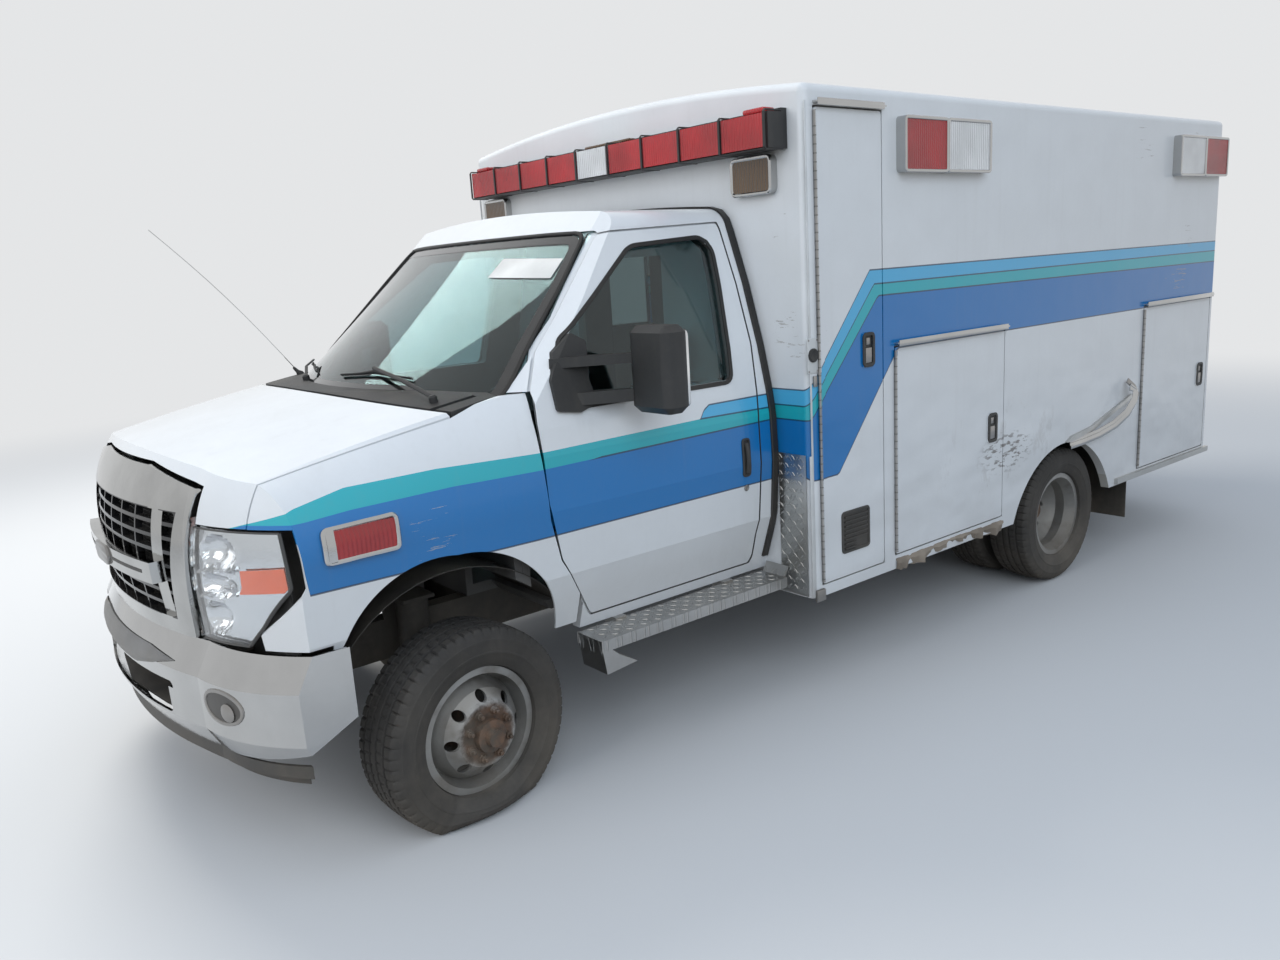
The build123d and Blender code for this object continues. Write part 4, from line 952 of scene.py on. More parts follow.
class Skin:
    """The outer surface of some CAD nodes, for laying trim on it."""

    def __init__(self, frame: dict, nodes: Sequence[str]) -> None:
        """Gathers the nodes' faces into one search tree.

        Args:
            nodes: names of the nodes.
        """
        spots: list[Vector] = []
        faces: list[list[int]] = []
        for name in nodes:
            mesh = frame["nodes"][name].data
            start = len(spots)
            spots.extend(vertex.co.copy() for vertex in mesh.vertices)
            faces.extend([start + index for index in polygon.vertices] for polygon in mesh.polygons)
        self.tree = BVHTree.FromPolygons(spots, faces)

    def side(self, station: float, height: float, hand: Hand, lift: float = 0.0) -> SkinPoint:
        """Finds the flank's point at a station and height, and the surface's direction there."""
        return self.cast(place(station, hand.value * 1500.0, height), Vector((0.0, -hand.value, 0.0)), lift)

    def ahead(self, y: float, height: float, lift: float = 0.0) -> SkinPoint:
        """Finds the point that is seen from straight ahead."""
        return self.cast(place(1500.0, y, height), Vector((-1.0, 0.0, 0.0)), lift)

    def above(self, station: float, y: float, lift: float = 0.0) -> SkinPoint:
        """Finds the point that is seen from straight above."""
        return self.cast(place(station, y, 3000.0), Vector((0.0, 0.0, -1.0)), lift)

    def cast(self, start: Vector, way: Vector, lift: float) -> SkinPoint:
        """Follows a ray to the surface, or to its nearest point where the ray misses."""
        spot, facing, _, _ = self.tree.ray_cast(start, way)
        if spot is None:
            spot, facing, _, _ = self.tree.find_nearest(start + way * 0.5)
        if facing.dot(way) > 0:
            facing = -facing
        return spot + facing * lift * MM, facing


def rounded(outline: Outline, radius: float, steps: int = 5) -> list[Flat]:
    """Rounds the corners of a closed outline.

    Args:
        outline: its corners.
        radius: radius of the rounding, roughly.
        steps: points on each corner.

    Returns:
        The outline with its rounded corners.
    """
    made: list[Flat] = []
    count = len(outline)
    for index, corner in enumerate(outline):
        here = Vector(corner)
        before = (Vector(outline[index - 1]) - here)
        after = (Vector(outline[(index + 1) % count]) - here)
        reach = min(radius, before.length / 2, after.length / 2)
        start, end = here + before.normalized() * reach, here + after.normalized() * reach
        for step in range(steps + 1):
            share = step / steps
            spot = start.lerp(here, share).lerp(here.lerp(end, share), share)
            made.append((spot.x, spot.y))
    return made


def filled(points: Outline, gap: float) -> list[Flat]:
    """Adds points along the runs of a closed outline so that none is longer than a gap.

    Args:
        points: its corners.
        gap: longest run that is left.

    Returns:
        The denser outline.
    """
    made: list[Flat] = []
    for index, corner in enumerate(points):
        here, there = Vector(corner), Vector(points[(index + 1) % len(points)])
        parts = max(1, math.ceil((there - here).length / gap))
        for part in range(parts):
            spot = here.lerp(there, part / parts)
            made.append((spot.x, spot.y))
    return made


def widened(outline: Outline, amount: float) -> list[Flat]:
    """Moves every corner of a closed outline away from its middle.

    Args:
        outline: corners of a roughly convex outline.
        amount: distance outwards.

    Returns:
        The wider outline.
    """
    area = sum(a[0] * b[1] - b[0] * a[1] for a, b in zip(outline, [*outline[1:], outline[0]]))
    turn = 1.0 if area > 0 else -1.0
    made: list[Flat] = []
    for index, corner in enumerate(outline):
        here = Vector(corner)
        into = (here - Vector(outline[index - 1])).normalized()
        out = (Vector(outline[(index + 1) % len(outline)]) - here).normalized()
        normal = Vector((into.y + out.y, -into.x - out.x)) * turn
        normal = normal.normalized() * amount / max(0.35, math.sqrt(max(0.0, (1 + into.dot(out)) / 2)))
        made.append((here.x + normal.x, here.y + normal.y))
    return made


def rectangle(first: Flat, second: Flat) -> list[Flat]:
    """Gives the corners of a rectangle from the ranges of its two values."""
    return [(first[0], second[0]), (first[1], second[0]), (first[1], second[1]), (first[0], second[1])]


def between(low: float, high: float, share: float) -> float:
    """Gives the value at a share of the way between two others."""
    return low + (high - low) * share


def shares(count: int) -> list[float]:
    """Gives evenly spaced values from 0 to 1, one more than the count."""
    return [step / count for step in range(count + 1)]


def strip(width: float, low: float, rise: float, cut: Flat) -> list[Flat]:
    """Gives the section of a strip whose corners are cut by a width and a height."""
    half = width / 2
    crest, shoulder = half - cut[0], rise - cut[1]
    return [(-half, low), (half, low), (half, shoulder), (crest, rise), (-crest, rise), (-half, shoulder)]


def ridge(foot: float, crest: float, rise: float) -> list[Flat]:
    """Gives the section of a strip with sloping sides, from its widths at foot and crest."""
    return [(-foot / 2, -2), (foot / 2, -2), (crest / 2, rise), (-crest / 2, rise)]


def moulding(line: Sequence[SkinPoint], width: float, height: float, closed: bool = True) -> Shape:
    """Lays a strip with soft edges along a line on a surface."""
    edge = min(width, height) * 0.35
    return Shape().laid(line, strip(width, -1.0, height, (edge, edge)), closed)


# ---- sub-assemblies


@dataclass
class Wheels:
    """Tyres with their tread, and the nuts of the wheels.

    Attributes:
        flat_height: height of the left front wheel's axis, whose tyre has no air.
        dual: distance between the middles of twin wheels.
        front_pad: seat of the front nuts, outboard of the wheel's middle.
        crown_fall: fall of the tread per square millimetre from its middle.
        bulge: how far a tyre without air bulges at the ground.
        crown: half of the tread, as distance outboard and 1 in a groove.
    """

    rim_radius: float = 206.0
    tyre_radius: float = 362.0
    flat_height: float = 300.0
    front_y: float = 877.0
    kingpin_y: float = 700.0
    steer: float = 6.0
    outer_y: float = 1027.0
    dual: float = 280.0
    front_pad: float = 126.0
    rear_pad: float = 8.0
    nut_circle: float = 82.5
    nuts_each: int = 8
    pitches: int = 60
    pitch_steps: int = 6
    groove: float = 9.0
    shoulder_cut: float = 8.0
    block_cut: float = 4.5
    wall_cut: float = 5.0
    wall_cut_from: float = 330.0
    shoulder_from: float = 66.0
    crown_fall: float = 0.00066
    bulge: float = 0.85
    smooth: float = 28.0
    wall: Outline = (
        (76, 206), (77, 221), (84, 225), (98, 227), (106, 240), (112, 258), (114.5, 272), (116, 274), (116, 279),
        (114.5, 281), (115, 296), (112.5, 312), (113, 314), (112, 321), (110, 323), (107, 334), (103, 344), (97, 352),
    )
    crown: Outline = (
        (92, 0), (80, 0), (68, 0), (64, 0), (62, 1), (54, 1), (52, 0),
        (40, 0), (28, 0), (24, 0), (22, 1), (14, 1), (12, 0), (4, 0),
    )
    nut: Outline = (
        (-1, 0), (-1, 15), (3, 15), (4, 12.5), (15, 12.5), (17, 10), (17, 7), (27, 7), (28, 5.5), (28, 0),
    )

    def matrix(self, hand: Hand, front: bool, offset: float = 0.0) -> Matrix:
        """Gives a wheel's place: X outboard along its axis, Z up.

        Args:
            hand: side of the vehicle.
            front: front or rear wheel.
            offset: distance of the wheel's middle from the outer rear one's.

        Returns:
            The matrix from the wheel's frame, in metres.
        """
        turn = Matrix.Rotation(math.radians(hand.value * 90.0), 4, "Z")
        if not front:
            return Matrix.Translation(place(REAR_AXLE, hand.y(self.outer_y - offset), self.tyre_radius)) @ turn
        height = self.flat_height if hand is Hand.LEFT else self.tyre_radius
        pin = Matrix.Translation(place(0.0, hand.y(self.kingpin_y), height))
        arm = Matrix.Translation(Vector((0.0, hand.y(self.front_y - self.kingpin_y) * MM, 0.0)))
        return pin @ Matrix.Rotation(math.radians(self.steer), 4, "Z") @ arm @ turn

    @staticmethod
    def axis(matrix: Matrix) -> Vector:
        """Gives the outboard direction of a wheel's axis."""
        return (matrix.to_3x3() @ ALONG).normalized()

    def crown_depth(self, across: float, mark: float, step: int) -> float:
        """Gives the depth of the tread's grooves at a point, in millimetres."""
        if mark:
            return self.groove
        shift = (3 if across < 0 else 0) + (2 if abs(across) < 45 else 0)
        if (step + shift) % self.pitch_steps:
            return 0.0
        if abs(across) > self.shoulder_from:
            return self.shoulder_cut
        return self.block_cut if abs(across) > 8 else 0.0

    def wall_depth(self, across: float, radius: float, step: int) -> float:
        """Gives the depth of the cuts in the wall at a point, in millimetres."""
        cut = radius > self.wall_cut_from and (step + (3 if across < 0 else 0)) % self.pitch_steps == 0
        return self.wall_cut if cut else 0.0

    def tyre(self, matrix: Matrix, sunk: bool) -> Shape:
        """Builds one tyre.

        Args:
            matrix: the wheel's place.
            sunk: whether it has no air and lies flat on the ground.

        Returns:
            Its shape.
        """
        half = [(x, radius, None) for x, radius in self.wall]
        half += [(x, self.tyre_radius - self.crown_fall * x * x, mark) for x, mark in self.crown]
        line = half + [(-x, radius, mark) for x, radius, mark in reversed(half)]
        steps = self.pitches * self.pitch_steps
        rows = []
        for step in range(steps):
            angle = 2 * math.pi * step / steps
            row = []
            for x, radius, mark in line:
                cut = self.wall_depth(x, radius, step) if mark is None else self.crown_depth(x, mark, step)
                row.append(matrix @ self.pressed(x, radius - cut, angle, sunk))
            rows.append(row)
        return Shape().sheet(rows, 0.0, round_trip=True)

    def pressed(self, x: float, radius: float, angle: float, sunk: bool) -> Vector:
        """Gives a tyre's point, squeezed by the ground where there is no air.

        Args:
            x: distance outboard of the tyre's middle.
            radius: radius without load.
            angle: angle about the axis.
            sunk: whether the tyre has no air.

        Returns:
            The point in the wheel's frame, in metres.
        """
        down = -math.sin(angle)
        if sunk and down > 0.05:
            depth = self.tyre_radius - self.rim_radius
            share = (min(self.tyre_radius, self.flat_height / down) - self.rim_radius) / depth
            part = max(0.0, (radius - self.rim_radius) / depth)
            radius = self.rim_radius + (radius - self.rim_radius) * share
            x *= 1 + self.bulge * (1 - share) * math.sin(math.pi * min(1.0, part * 1.02) * 0.72)
        return Vector((x, radius * math.cos(angle), radius * math.sin(angle))) * MM

    def nuts(self, matrix: Matrix, seat: float, name: str, body: str) -> None:
        """Adds the wheel nuts on their washers.

        Args:
            matrix: the wheel's place.
            seat: where the nuts sit along the axis.
            name: name of the piece.
            body: body that carries it.
        """
        shape = Shape()
        for step in range(self.nuts_each):
            angle = math.pi * (1 + 2 * step) / self.nuts_each
            spot = Vector((seat, self.nut_circle * math.cos(angle), self.nut_circle * math.sin(angle))) * MM
            shape.turned(self.nut, matrix @ spot, self.axis(matrix), 12)
        finish = WheelPaint(
            f"{name} rust", (0.3, 0.29, 0.28), rough=0.6, metal=0.6, dust=0.6, grain=200.0, rust_to=0.4,
        )
        shape.put(name, finish, body)

    def paint(self, frame: dict, hand: Hand, front: bool) -> None:
        """Paints the rims of a side's front or rear wheels."""
        node = f"rim_front_{hand.word}" if front else f"rims_rear_{hand.word}"
        spot = self.matrix(hand, front)
        centre = spot.translation
        dress(frame, node, WheelPaint(
            f"wheel paint {node}", (0.42, 0.42, 0.41), rough=0.42, metal=0.75, dust=0.5, dust_top=0.9, grain=120.0,
            depth=0.0006, uneven=0.15, centre=(centre.x / MM - FRONT_AXLE, centre.y / MM, centre.z / MM),
            axis=tuple(self.axis(spot)), rust_to=0.112,
        ))

    def build(self, frame: dict) -> None:
        """Builds the tyres and nuts and paints the rims."""
        for hand in Hand:
            word = hand.word
            matrix = self.matrix(hand, True)
            shape = self.tyre(matrix, hand is Hand.LEFT)
            tyre = shape.put(f"tyre_tread_front_{word}", TYRE_RUBBER, f"wheel_front_{word}", self.smooth)
            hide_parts(f"tyre_front_{word}")
            self.nuts(matrix, self.front_pad, f"nuts_front_{word}", f"wheel_front_{word}")
            for offset, where in ((0.0, "outer"), (self.dual, "inner")):
                shape = self.tyre(self.matrix(hand, False, offset), False)
                twin = shape.put(f"tyre_tread_{where}_{word}", TYRE_RUBBER, f"wheels_rear_{word}", self.smooth)
                if offset:
                    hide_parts(f"tyres_rear_{word}")
            middle = self.matrix(hand, False, self.dual / 2)
            self.nuts(middle, self.rear_pad, f"nuts_rear_{word}", f"wheels_rear_{word}")
            for front in (True, False):
                self.paint(frame, hand, front)


def dress(frame: dict, node: str, finish: Finish) -> None:
    """Gives a CAD node its finish."""
    target = frame["nodes"][node]
    target.data.materials.clear()
    target.data.materials.append(finish.build())


@dataclass(frozen=True)
class Lamp:
    """A soft square lamp of the studio."""

    name: str
    spot: Point
    size: float
    power: float
    tint: Tint


@dataclass
class Studio:
    """Plain pale floor, soft light, and the camera at the photograph's angle.

    Attributes:
        eye: the camera's place.
        focal: focal length in pixels of the photograph.
        pale: the floor's colour as the camera sees it.
        bounce: colour of the light that the floor throws back.
        fade: distances in metres between which the floor turns into the backdrop.
    """

    eye: Point = (1448.8, 3766.8, 1810.5)
    yaw: float = -2.2422
    pitch: float = -0.2141
    roll: float = -0.0613
    focal: float = 993.3
    photo_width: float = 1280.0
    sensor_width: float = 36.0
    floor_size: float = 60.0
    pale: Tint = (0.6, 0.6, 0.6)
    bounce: Tint = (0.3, 0.27, 0.23)
    backdrop: Tint = (0.78, 0.79, 0.8)
    horizon: Tint = (0.2, 0.19, 0.18)
    zenith: Tint = (0.8, 0.9, 1.04)
    strength: float = 0.75
    fade: Flat = (5.0, 13.0)
    aim: Point = (-1800.0, 0.0, 1000.0)
    lights: Sequence[Lamp] = (
        Lamp("sun side lamp", (-500.0, -6000.0, 7500.0), 4.0, 640.0, (1.0, 0.97, 0.9)),
        Lamp("shade side lamp", (1500.0, 7500.0, 5000.0), 6.0, 250.0, (0.82, 0.91, 1.0)),
        Lamp("nose lamp", (6500.0, 500.0, 4500.0), 5.0, 190.0, (1.0, 0.98, 0.95)),
    )

    def camera(self) -> None:
        """Sets up the camera."""
        flat = math.cos(self.pitch)
        look = Vector((flat * math.cos(self.yaw), flat * math.sin(self.yaw), math.sin(self.pitch)))
        right = look.cross(UP).normalized()
        up = right.cross(look)
        turned_right = right * math.cos(self.roll) + up * math.sin(self.roll)
        turned_up = up * math.cos(self.roll) - right * math.sin(self.roll)
        data = bpy.data.cameras.new("camera")
        data.sensor_width = self.sensor_width
        data.lens = data.sensor_width * self.focal / self.photo_width
        made = bpy.data.objects.new("camera", data)
        turn = Matrix((turned_right, turned_up, -look)).transposed().to_4x4()
        made.matrix_world = Matrix.Translation(place(*self.eye)) @ turn
        bpy.context.scene.collection.objects.link(made)
        bpy.context.scene.camera = made

    @staticmethod
    def watched(net: Net) -> Socket:
        """Wires a mask of the rays that show the surroundings, straight, in metal or through glass."""
        path = net.add("LightPath").outputs
        through = net.math("MAXIMUM", path["Is Glossy Ray"], path["Is Transmission Ray"])
        return net.math("MAXIMUM", path["Is Camera Ray"], through)

    def ground(self) -> Material:
        """Builds the pale ground, which turns into the backdrop far away."""
        made, net, shader = opened("studio floor")
        x, y, _ = net.split(net.rest()[0])
        away = net.math("SQRT", net.plus(net.times(x, x), net.times(y, y)))
        far = net.span(away, *self.fade)
        seen = self.watched(net)
        near_tint = net.mix(seen, self.bounce, net.mix(far, self.pale, BLACK))
        glow = net.mix(net.times(far, seen), BLACK, self.backdrop)
        net.fit(
            shader, Base_Color=near_tint, Emission_Color=glow, Emission_Strength=1.0, Specular_IOR_Level=0.0,
            Roughness=1.0,
        )
        return made

    def floor(self) -> None:
        """Lays the pale floor."""
        mesh = bmesh.new()
        bmesh.ops.create_grid(mesh, x_segments=1, y_segments=1, size=self.floor_size)
        data = bpy.data.meshes.new("floor")
        mesh.to_mesh(data)
        mesh.free()
        data.materials.append(self.ground())
        made = bpy.data.objects.new("floor", data)
        bpy.context.scene.collection.objects.link(made)

    def surroundings(self) -> None:
        """Sets the pale surroundings, and the sky that lights the vehicle."""
        world = bpy.data.worlds.new("surroundings")
        bpy.context.scene.world = world
        world.use_nodes = True
        net = Net(world.node_tree)
        shader = world.node_tree.nodes["Background"]
        direction = net.split(net.add("TexCoord").outputs["Generated"])[2]
        sky = net.mix(net.span(direction, -0.02, 0.3), self.horizon, self.zenith)
        shown = tuple(value / self.strength for value in self.backdrop)
        net.fit(shader, Color=net.mix(self.watched(net), sky, shown), Strength=self.strength)

    def lamps(self) -> None:
        """Hangs the soft lamps."""
        for lamp in self.lights:
            data = bpy.data.lights.new(lamp.name, "AREA")
            data.size = lamp.size
            data.energy = lamp.power
            data.color = lamp.tint
            made = bpy.data.objects.new(lamp.name, data)
            made.location = place(*lamp.spot)
            made.visible_glossy = False
            made.rotation_euler = (place(*self.aim) - made.location).to_track_quat("-Z", "Y").to_euler()
            bpy.context.scene.collection.objects.link(made)

    def build(self) -> None:
        """Builds the whole studio."""
        self.camera()
        self.floor()
        self.surroundings()
        self.lamps()
        bpy.context.scene.view_settings.view_transform = "Standard"


@dataclass
class Glazing:
    """Windscreen border, window seals, wipers, blank label and the rubber between cab and box.

    Attributes:
        label_fall: how far its outer end hangs lower.
        label_lean: how far its lower edge lies further out.
        arms: for each wiper its pivot's Y, its elbow as Y and height, and the ends of its blade.
    """

    frame: dict
    screen_half: Outline = (
        (0, 1940), (520, 1940), (700, 1936), (764, 1765), (795, 1640), (817, 1549), (845, 1464), (857, 1410),
        (846, 1368), (560, 1366), (470, 1396), (0, 1396),
    )
    window: Outline = ((-462, 1345), (-505, 1556), (-918, 1870), (-1280, 1892), (-1322, 1850), (-1258, 1345))
    border: float = 44.0
    bead: float = 16.0
    seal: float = 17.0
    label_y: Flat = (352.0, 682.0)
    label_z: Flat = (1792.0, 1860.0)
    label_fall: float = 14.0
    label_lean: float = 12.0
    rubber_station: float = -1455.0
    rubber_height: float = 1250.0
    rubber_turn: Flat = (-36.0, 216.0)
    rubber_width: float = 34.0
    pivot_station: float = -95.0
    pivot: Outline = ((-12, 0), (-12, 15), (14, 15), (20, 9), (20, 0))
    arms: Sequence[tuple[float, Flat, Flat]] = (
        (735.0, (240.0, 1470.0), (20.0, 470.0)),
        (-330.0, (-500.0, 1466.0), (-300.0, -690.0)),
    )

    def screen(self) -> None:
        """Lays the black border on the windscreen and the bead round it."""
        skin = Skin(self.frame, ["windshield"])
        outline = [*self.screen_half, *[(-y, z) for y, z in reversed(self.screen_half[1:-1])]]
        for inset, width, height, name, finish in (
            (self.border / 2 + 2, self.border, 0.8, "windscreen_border", GLASS_BAND),
            (3.0, self.bead, 8.0, "windscreen_bead", SEAL),
        ):
            line = [skin.ahead(y, z) for y, z in filled(rounded(widened(outline, -inset), 50.0), 30.0)]
            moulding(line, width, height).put(name, finish)

    def label(self) -> None:
        """Sticks the blank label in the corner of the windscreen."""
        skin = Skin(self.frame, ["windshield"])
        rows = []
        for share in shares(8):
            y = between(*self.label_y, share)
            low, high = [z - self.label_fall * share for z in self.label_z]
            rows.append([
                skin.ahead(y + self.label_lean * (1 - part), between(low, high, part), 1.0)[0] for part in shares(4)
            ])
        Shape().sheet(rows, 0.3).put("blank_label", BLANK_LABEL)

    def side_windows(self) -> None:
        """Lays a black seal round each door's window."""
        for hand in Hand:
            door = f"cab_door_{hand.word}"
            skin = Skin(self.frame, [door])
            outline = widened(rounded(self.window, 34.0), 7.0)
            line = [skin.side(x, z, hand) for x, z in filled(outline, 30.0)]
            moulding(line, self.seal, 5.0).put(f"window_seal_{hand.word}", SEAL, door)

    def cab_rubber(self) -> None:
        """Runs the black rubber between the cab and the box."""
        skin = Skin(self.frame, ["cab_shell"])
        centre = place(self.rubber_station, 0.0, self.rubber_height)
        line = []
        for share in shares(96):
            angle = math.radians(between(*self.rubber_turn, share))
            way = Vector((0.0, math.cos(angle), math.sin(angle)))
            line.append(skin.cast(centre + way * 2.0, -way, 0.0))
        moulding(line, self.rubber_width, 9.0, closed=False).put("cab_to_box_rubber", SEAL)

    def wipers(self) -> None:
        """Places two wiper arms with their blades."""
        skin = Skin(self.frame, ["windshield"])
        cowl = Skin(self.frame, ["cowl"])
        shape = Shape()
        for pivot_y, (elbow_y, elbow_z), ends in self.arms:
            base = cowl.above(self.pivot_station, pivot_y, 4.0)[0]
            shape.turned(self.pivot, base, Vector((0.2, 0.0, 1.0)), 14)
            tip = skin.ahead(elbow_y, elbow_z, 26.0)[0]
            middle = base.lerp(tip, 0.45) + Vector((0.012, 0.0, 0.02))
            shape.tube([base + UP * 0.012, middle, tip], 16.0, 9.0)
            blade = [
                skin.ahead(between(*ends, part), elbow_z - 6 - 28 * abs(part - 0.5), 9.0)[0] for part in shares(10)
            ]
            shape.tube(blade, 7.0, 13.0)
            shape.tube([blade[2], blade[5] + Vector((0.006, 0.0, 0.008)), blade[8]], 9.0, 7.0)
        shape.put("wipers", BLACK_PLASTIC)

    def build(self) -> None:
        """Builds all of it."""
        self.screen()
        self.label()
        self.side_windows()
        self.cab_rubber()
        self.wipers()


@dataclass
class Nose:
    """Headlamps, grille mesh, bumper trim, fender lamps, arch liners and antenna.

    Attributes:
        eye: station and Y of the point inside a headlamp that its surface is found from.
        waist: height where a lamp's rear edge is furthest back.
        corner: station where the lamps turn onto the flank.
        cells: reflector cells, each as middle Y, height, half width, half height and depth.
        joint: share of a lamp's width that its reflectors take up.
        liner_parts: parts of an arch liner, each as two angles in degrees and two distances outboard.
    """

    frame: dict
    eye: Flat = (450.0, 600.0)
    lamp_low: float = 757.0
    lamp_high: float = 1116.0
    waist: float = 949.0
    lamp_rear: float = 516.0
    upper_slope: float = 0.055
    lower_slope: float = 0.72
    corner: float = 606.0
    cells: Sequence[tuple[float, float, float, float, float]] = (
        (745.0, 1042.0, 128.0, 52.0, 46.0), (740.0, 936.0, 128.0, 36.0, 36.0), (735.0, 828.0, 128.0, 54.0, 46.0),
    )
    joint: float = 0.6
    columns: int = 44
    rows: int = 40
    wire: float = 3.0
    bow: float = 0.00012
    crossbar: float = 950.0
    pad_half: float = 476.0
    fog: Flat = (745.0, 572.0)
    fog_half: Flat = (88.0, 52.0)
    fender_lamp: Outline = ((440, 1011), (440, 1106), (212, 1114), (212, 1013))
    liner_radius: float = 506.0
    liner_height: float = 362.0
    liner_parts: Sequence[tuple[float, float, float, float]] = (
        (14, 150, 668.0, 925.0), (14, 78, 480.0, 668.0), (102, 150, 480.0, 668.0),
    )
    antenna_foot: Flat = (-54.0, -868.0)
    antenna_tip: Point = (322.0, -860.0, 2072.0)

    def lamp_point(self, skin: Skin, hand: Hand, share: float, height: float, depth: float) -> Vector:
        """Finds a point of a headlamp's surface, or behind it.

        Args:
            skin: surface of the lamps.
            hand: side of the vehicle.
            share: 0 at the inner edge and 1 at the rear edge.
            height: its height.
            depth: distance behind the surface.

        Returns:
            The point in metres.
        """
        start = math.atan2((height - 746.0) * 0.158 - 6.0, 290.0)
        rise = height - self.waist
        rear = self.lamp_rear + (rise * self.upper_slope if rise >= 0 else -rise * self.lower_slope)
        reach = 281.0 if rear < self.corner else 279.0 - (rear - self.corner) * 0.83
        angle = between(start, math.atan2(reach, rear - self.eye[0]), share)
        way = Vector((math.cos(angle), hand.y(math.sin(angle)), 0.0))
        sure = max(height, self.lamp_low + 5.0 + 38.0 * share)
        centre = place(self.eye[0], hand.y(self.eye[1]), sure)
        return skin.cast(centre + way * 0.8, -way, 0.0)[0] - way * depth * MM - UP * (sure - height) * MM

    def level(self, share: float, part: float) -> float:
        """Gives the height at a part of the way up a headlamp, at a share of its width."""
        return between(self.lamp_low + 8.0 * share, self.lamp_high, part)

    def hollow(self, share: float, height: float) -> float:
        """Gives the depth of the reflectors at a point, in millimetres."""
        depth = 20.0
        if share >= self.joint:
            return depth
        y = between(600.0, 880.0, share / self.joint)
        for middle, rise, half_y, half_z, deep in self.cells:
            inside = 1 - ((y - middle) / half_y) ** 2 - ((height - rise) / half_z) ** 2
            if inside > 0:
                depth += deep * math.sqrt(inside)
        ledges = (972.0 + (y - 602.0) * 0.097, 889.5 + (y - 589.0) * 0.117)
        return depth - 12.0 if min(abs(height - ledge) for ledge in ledges) < 5 else depth

    def headlamps(self) -> None:
        """Builds each headlamp as a clear lens over its reflector, with its amber marker and trim."""
        skin = Skin(self.frame, ["headlamps"])
        lens, mirror, amber, trim = Shape(), Shape(), Shape(), Shape()
        for hand in Hand:
            for shape, thickness in ((lens, 2.5), (mirror, 1.0)):
                grid = []
                for row in shares(self.rows):
                    line = [(share, self.level(share, row)) for share in shares(self.columns)]
                    grid.append([
                        self.lamp_point(skin, hand, share, z, 0.4 if shape is lens else self.hollow(share, z))
                        for share, z in line
                    ])
                shape.sheet(grid, thickness)
            amber.sheet([
                [
                    self.lamp_point(skin, hand, 0.64 + 0.34 * part, 926.0 + 74.0 * row + 12.0 * part, 6.0)
                    for part in shares(8)
                ]
                for row in shares(6)
            ], 1.5)
            inner, outer = hand.span(470.0, 925.0)
            trim.block((520.0, inner, 610.0), (526.0, outer, 1000.0))
            lower = [self.lamp_point(skin, hand, part, self.level(part, -0.01), 2.0) for part in shares(24)]
            trim.tube(lower, 9.0, 9.0, steps=6)
            edge = [self.lamp_point(skin, hand, 1.0, self.level(1.0, 1 - part), 2.0) for part in shares(24)]
            trim.tube(edge, 12.0, 9.0, Vector((0.35, hand.value, 0.0)), steps=8)
            upper = [self.lamp_point(skin, hand, part, self.level(part, 1.0), 1.0) for part in shares(24)]
            trim.tube(upper, 7.0, 7.0, steps=6)
        piece = lens.put("headlamp_lenses", CLEAR_LENS)
        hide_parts("headlamps")
        mirror.put("headlamp_reflectors", REFLECTOR)
        amber.put("side_markers", MARKER_AMBER)
        trim.put("headlamp_trim", DARK_TRIM)

    def grille(self) -> None:
        """Weaves the fine black mesh behind the bars and puts slots and a plain block on the crossbar."""
        skin = Skin(self.frame, ["grille"])
        mesh = Shape()
        for step in range(24):
            level = [(60.0 * part, 812.0 + 14.2 * step) for part in range(-9, 10)]
            mesh.tube([place(735.0 - self.bow * y ** 2, y, z) for y, z in level], self.wire, self.wire, steps=4)
        for step in range(-38, 39):
            y = 14.0 * step
            x = 733.0 - self.bow * y * y
            mesh.tube([place(x, y, 800.0), place(x - 4, y, 1150.0)], self.wire, self.wire, steps=4)
        mesh.put("grille_mesh", BLACK_PLASTIC)
        slots = Shape()
        for hand in Hand:
            line = [skin.ahead(hand.y(120.0 + 29.0 * part), self.crossbar) for part in range(10)]
            slots.laid(line, ridge(12, 12, 0.8), closed=False)
        slots.put("crossbar_slots", BLACK_PLASTIC)
        outline = rounded(rectangle((-88, 88), (916, 984)), 34.0)
        front = skin.ahead(0.0, self.crossbar)[0].x / MM - FRONT_AXLE
        Shape().prism(outline, View.ACROSS, front - 8, front + 7, 4.0).put("crossbar_block", DULL_CHROME)

    def pad(self, skin: Skin) -> None:
        """Lays the grey pad on the bumper, lower and flatter towards its ends."""
        rows = []
        for share in shares(32):
            y = between(-self.pad_half, self.pad_half, share)
            aside = abs(y)
            low = 604.0 + max(0.0, aside - 200) * 0.21
            high = 680.0 - max(0.0, aside - 300) * 0.09
            crown = 9.0 - max(0.0, aside - 420) * 0.12
            lifts = [crown * (0.5 if part in (0.0, 1.0) else 1.0) for part in shares(5)]
            rows.append([
                skin.ahead(y, between(low, high, part), lift)[0] for part, lift in zip(shares(5), lifts)
            ])
        Shape().sheet(rows, 5.0).put("bumper_pad", PAD_GREY)

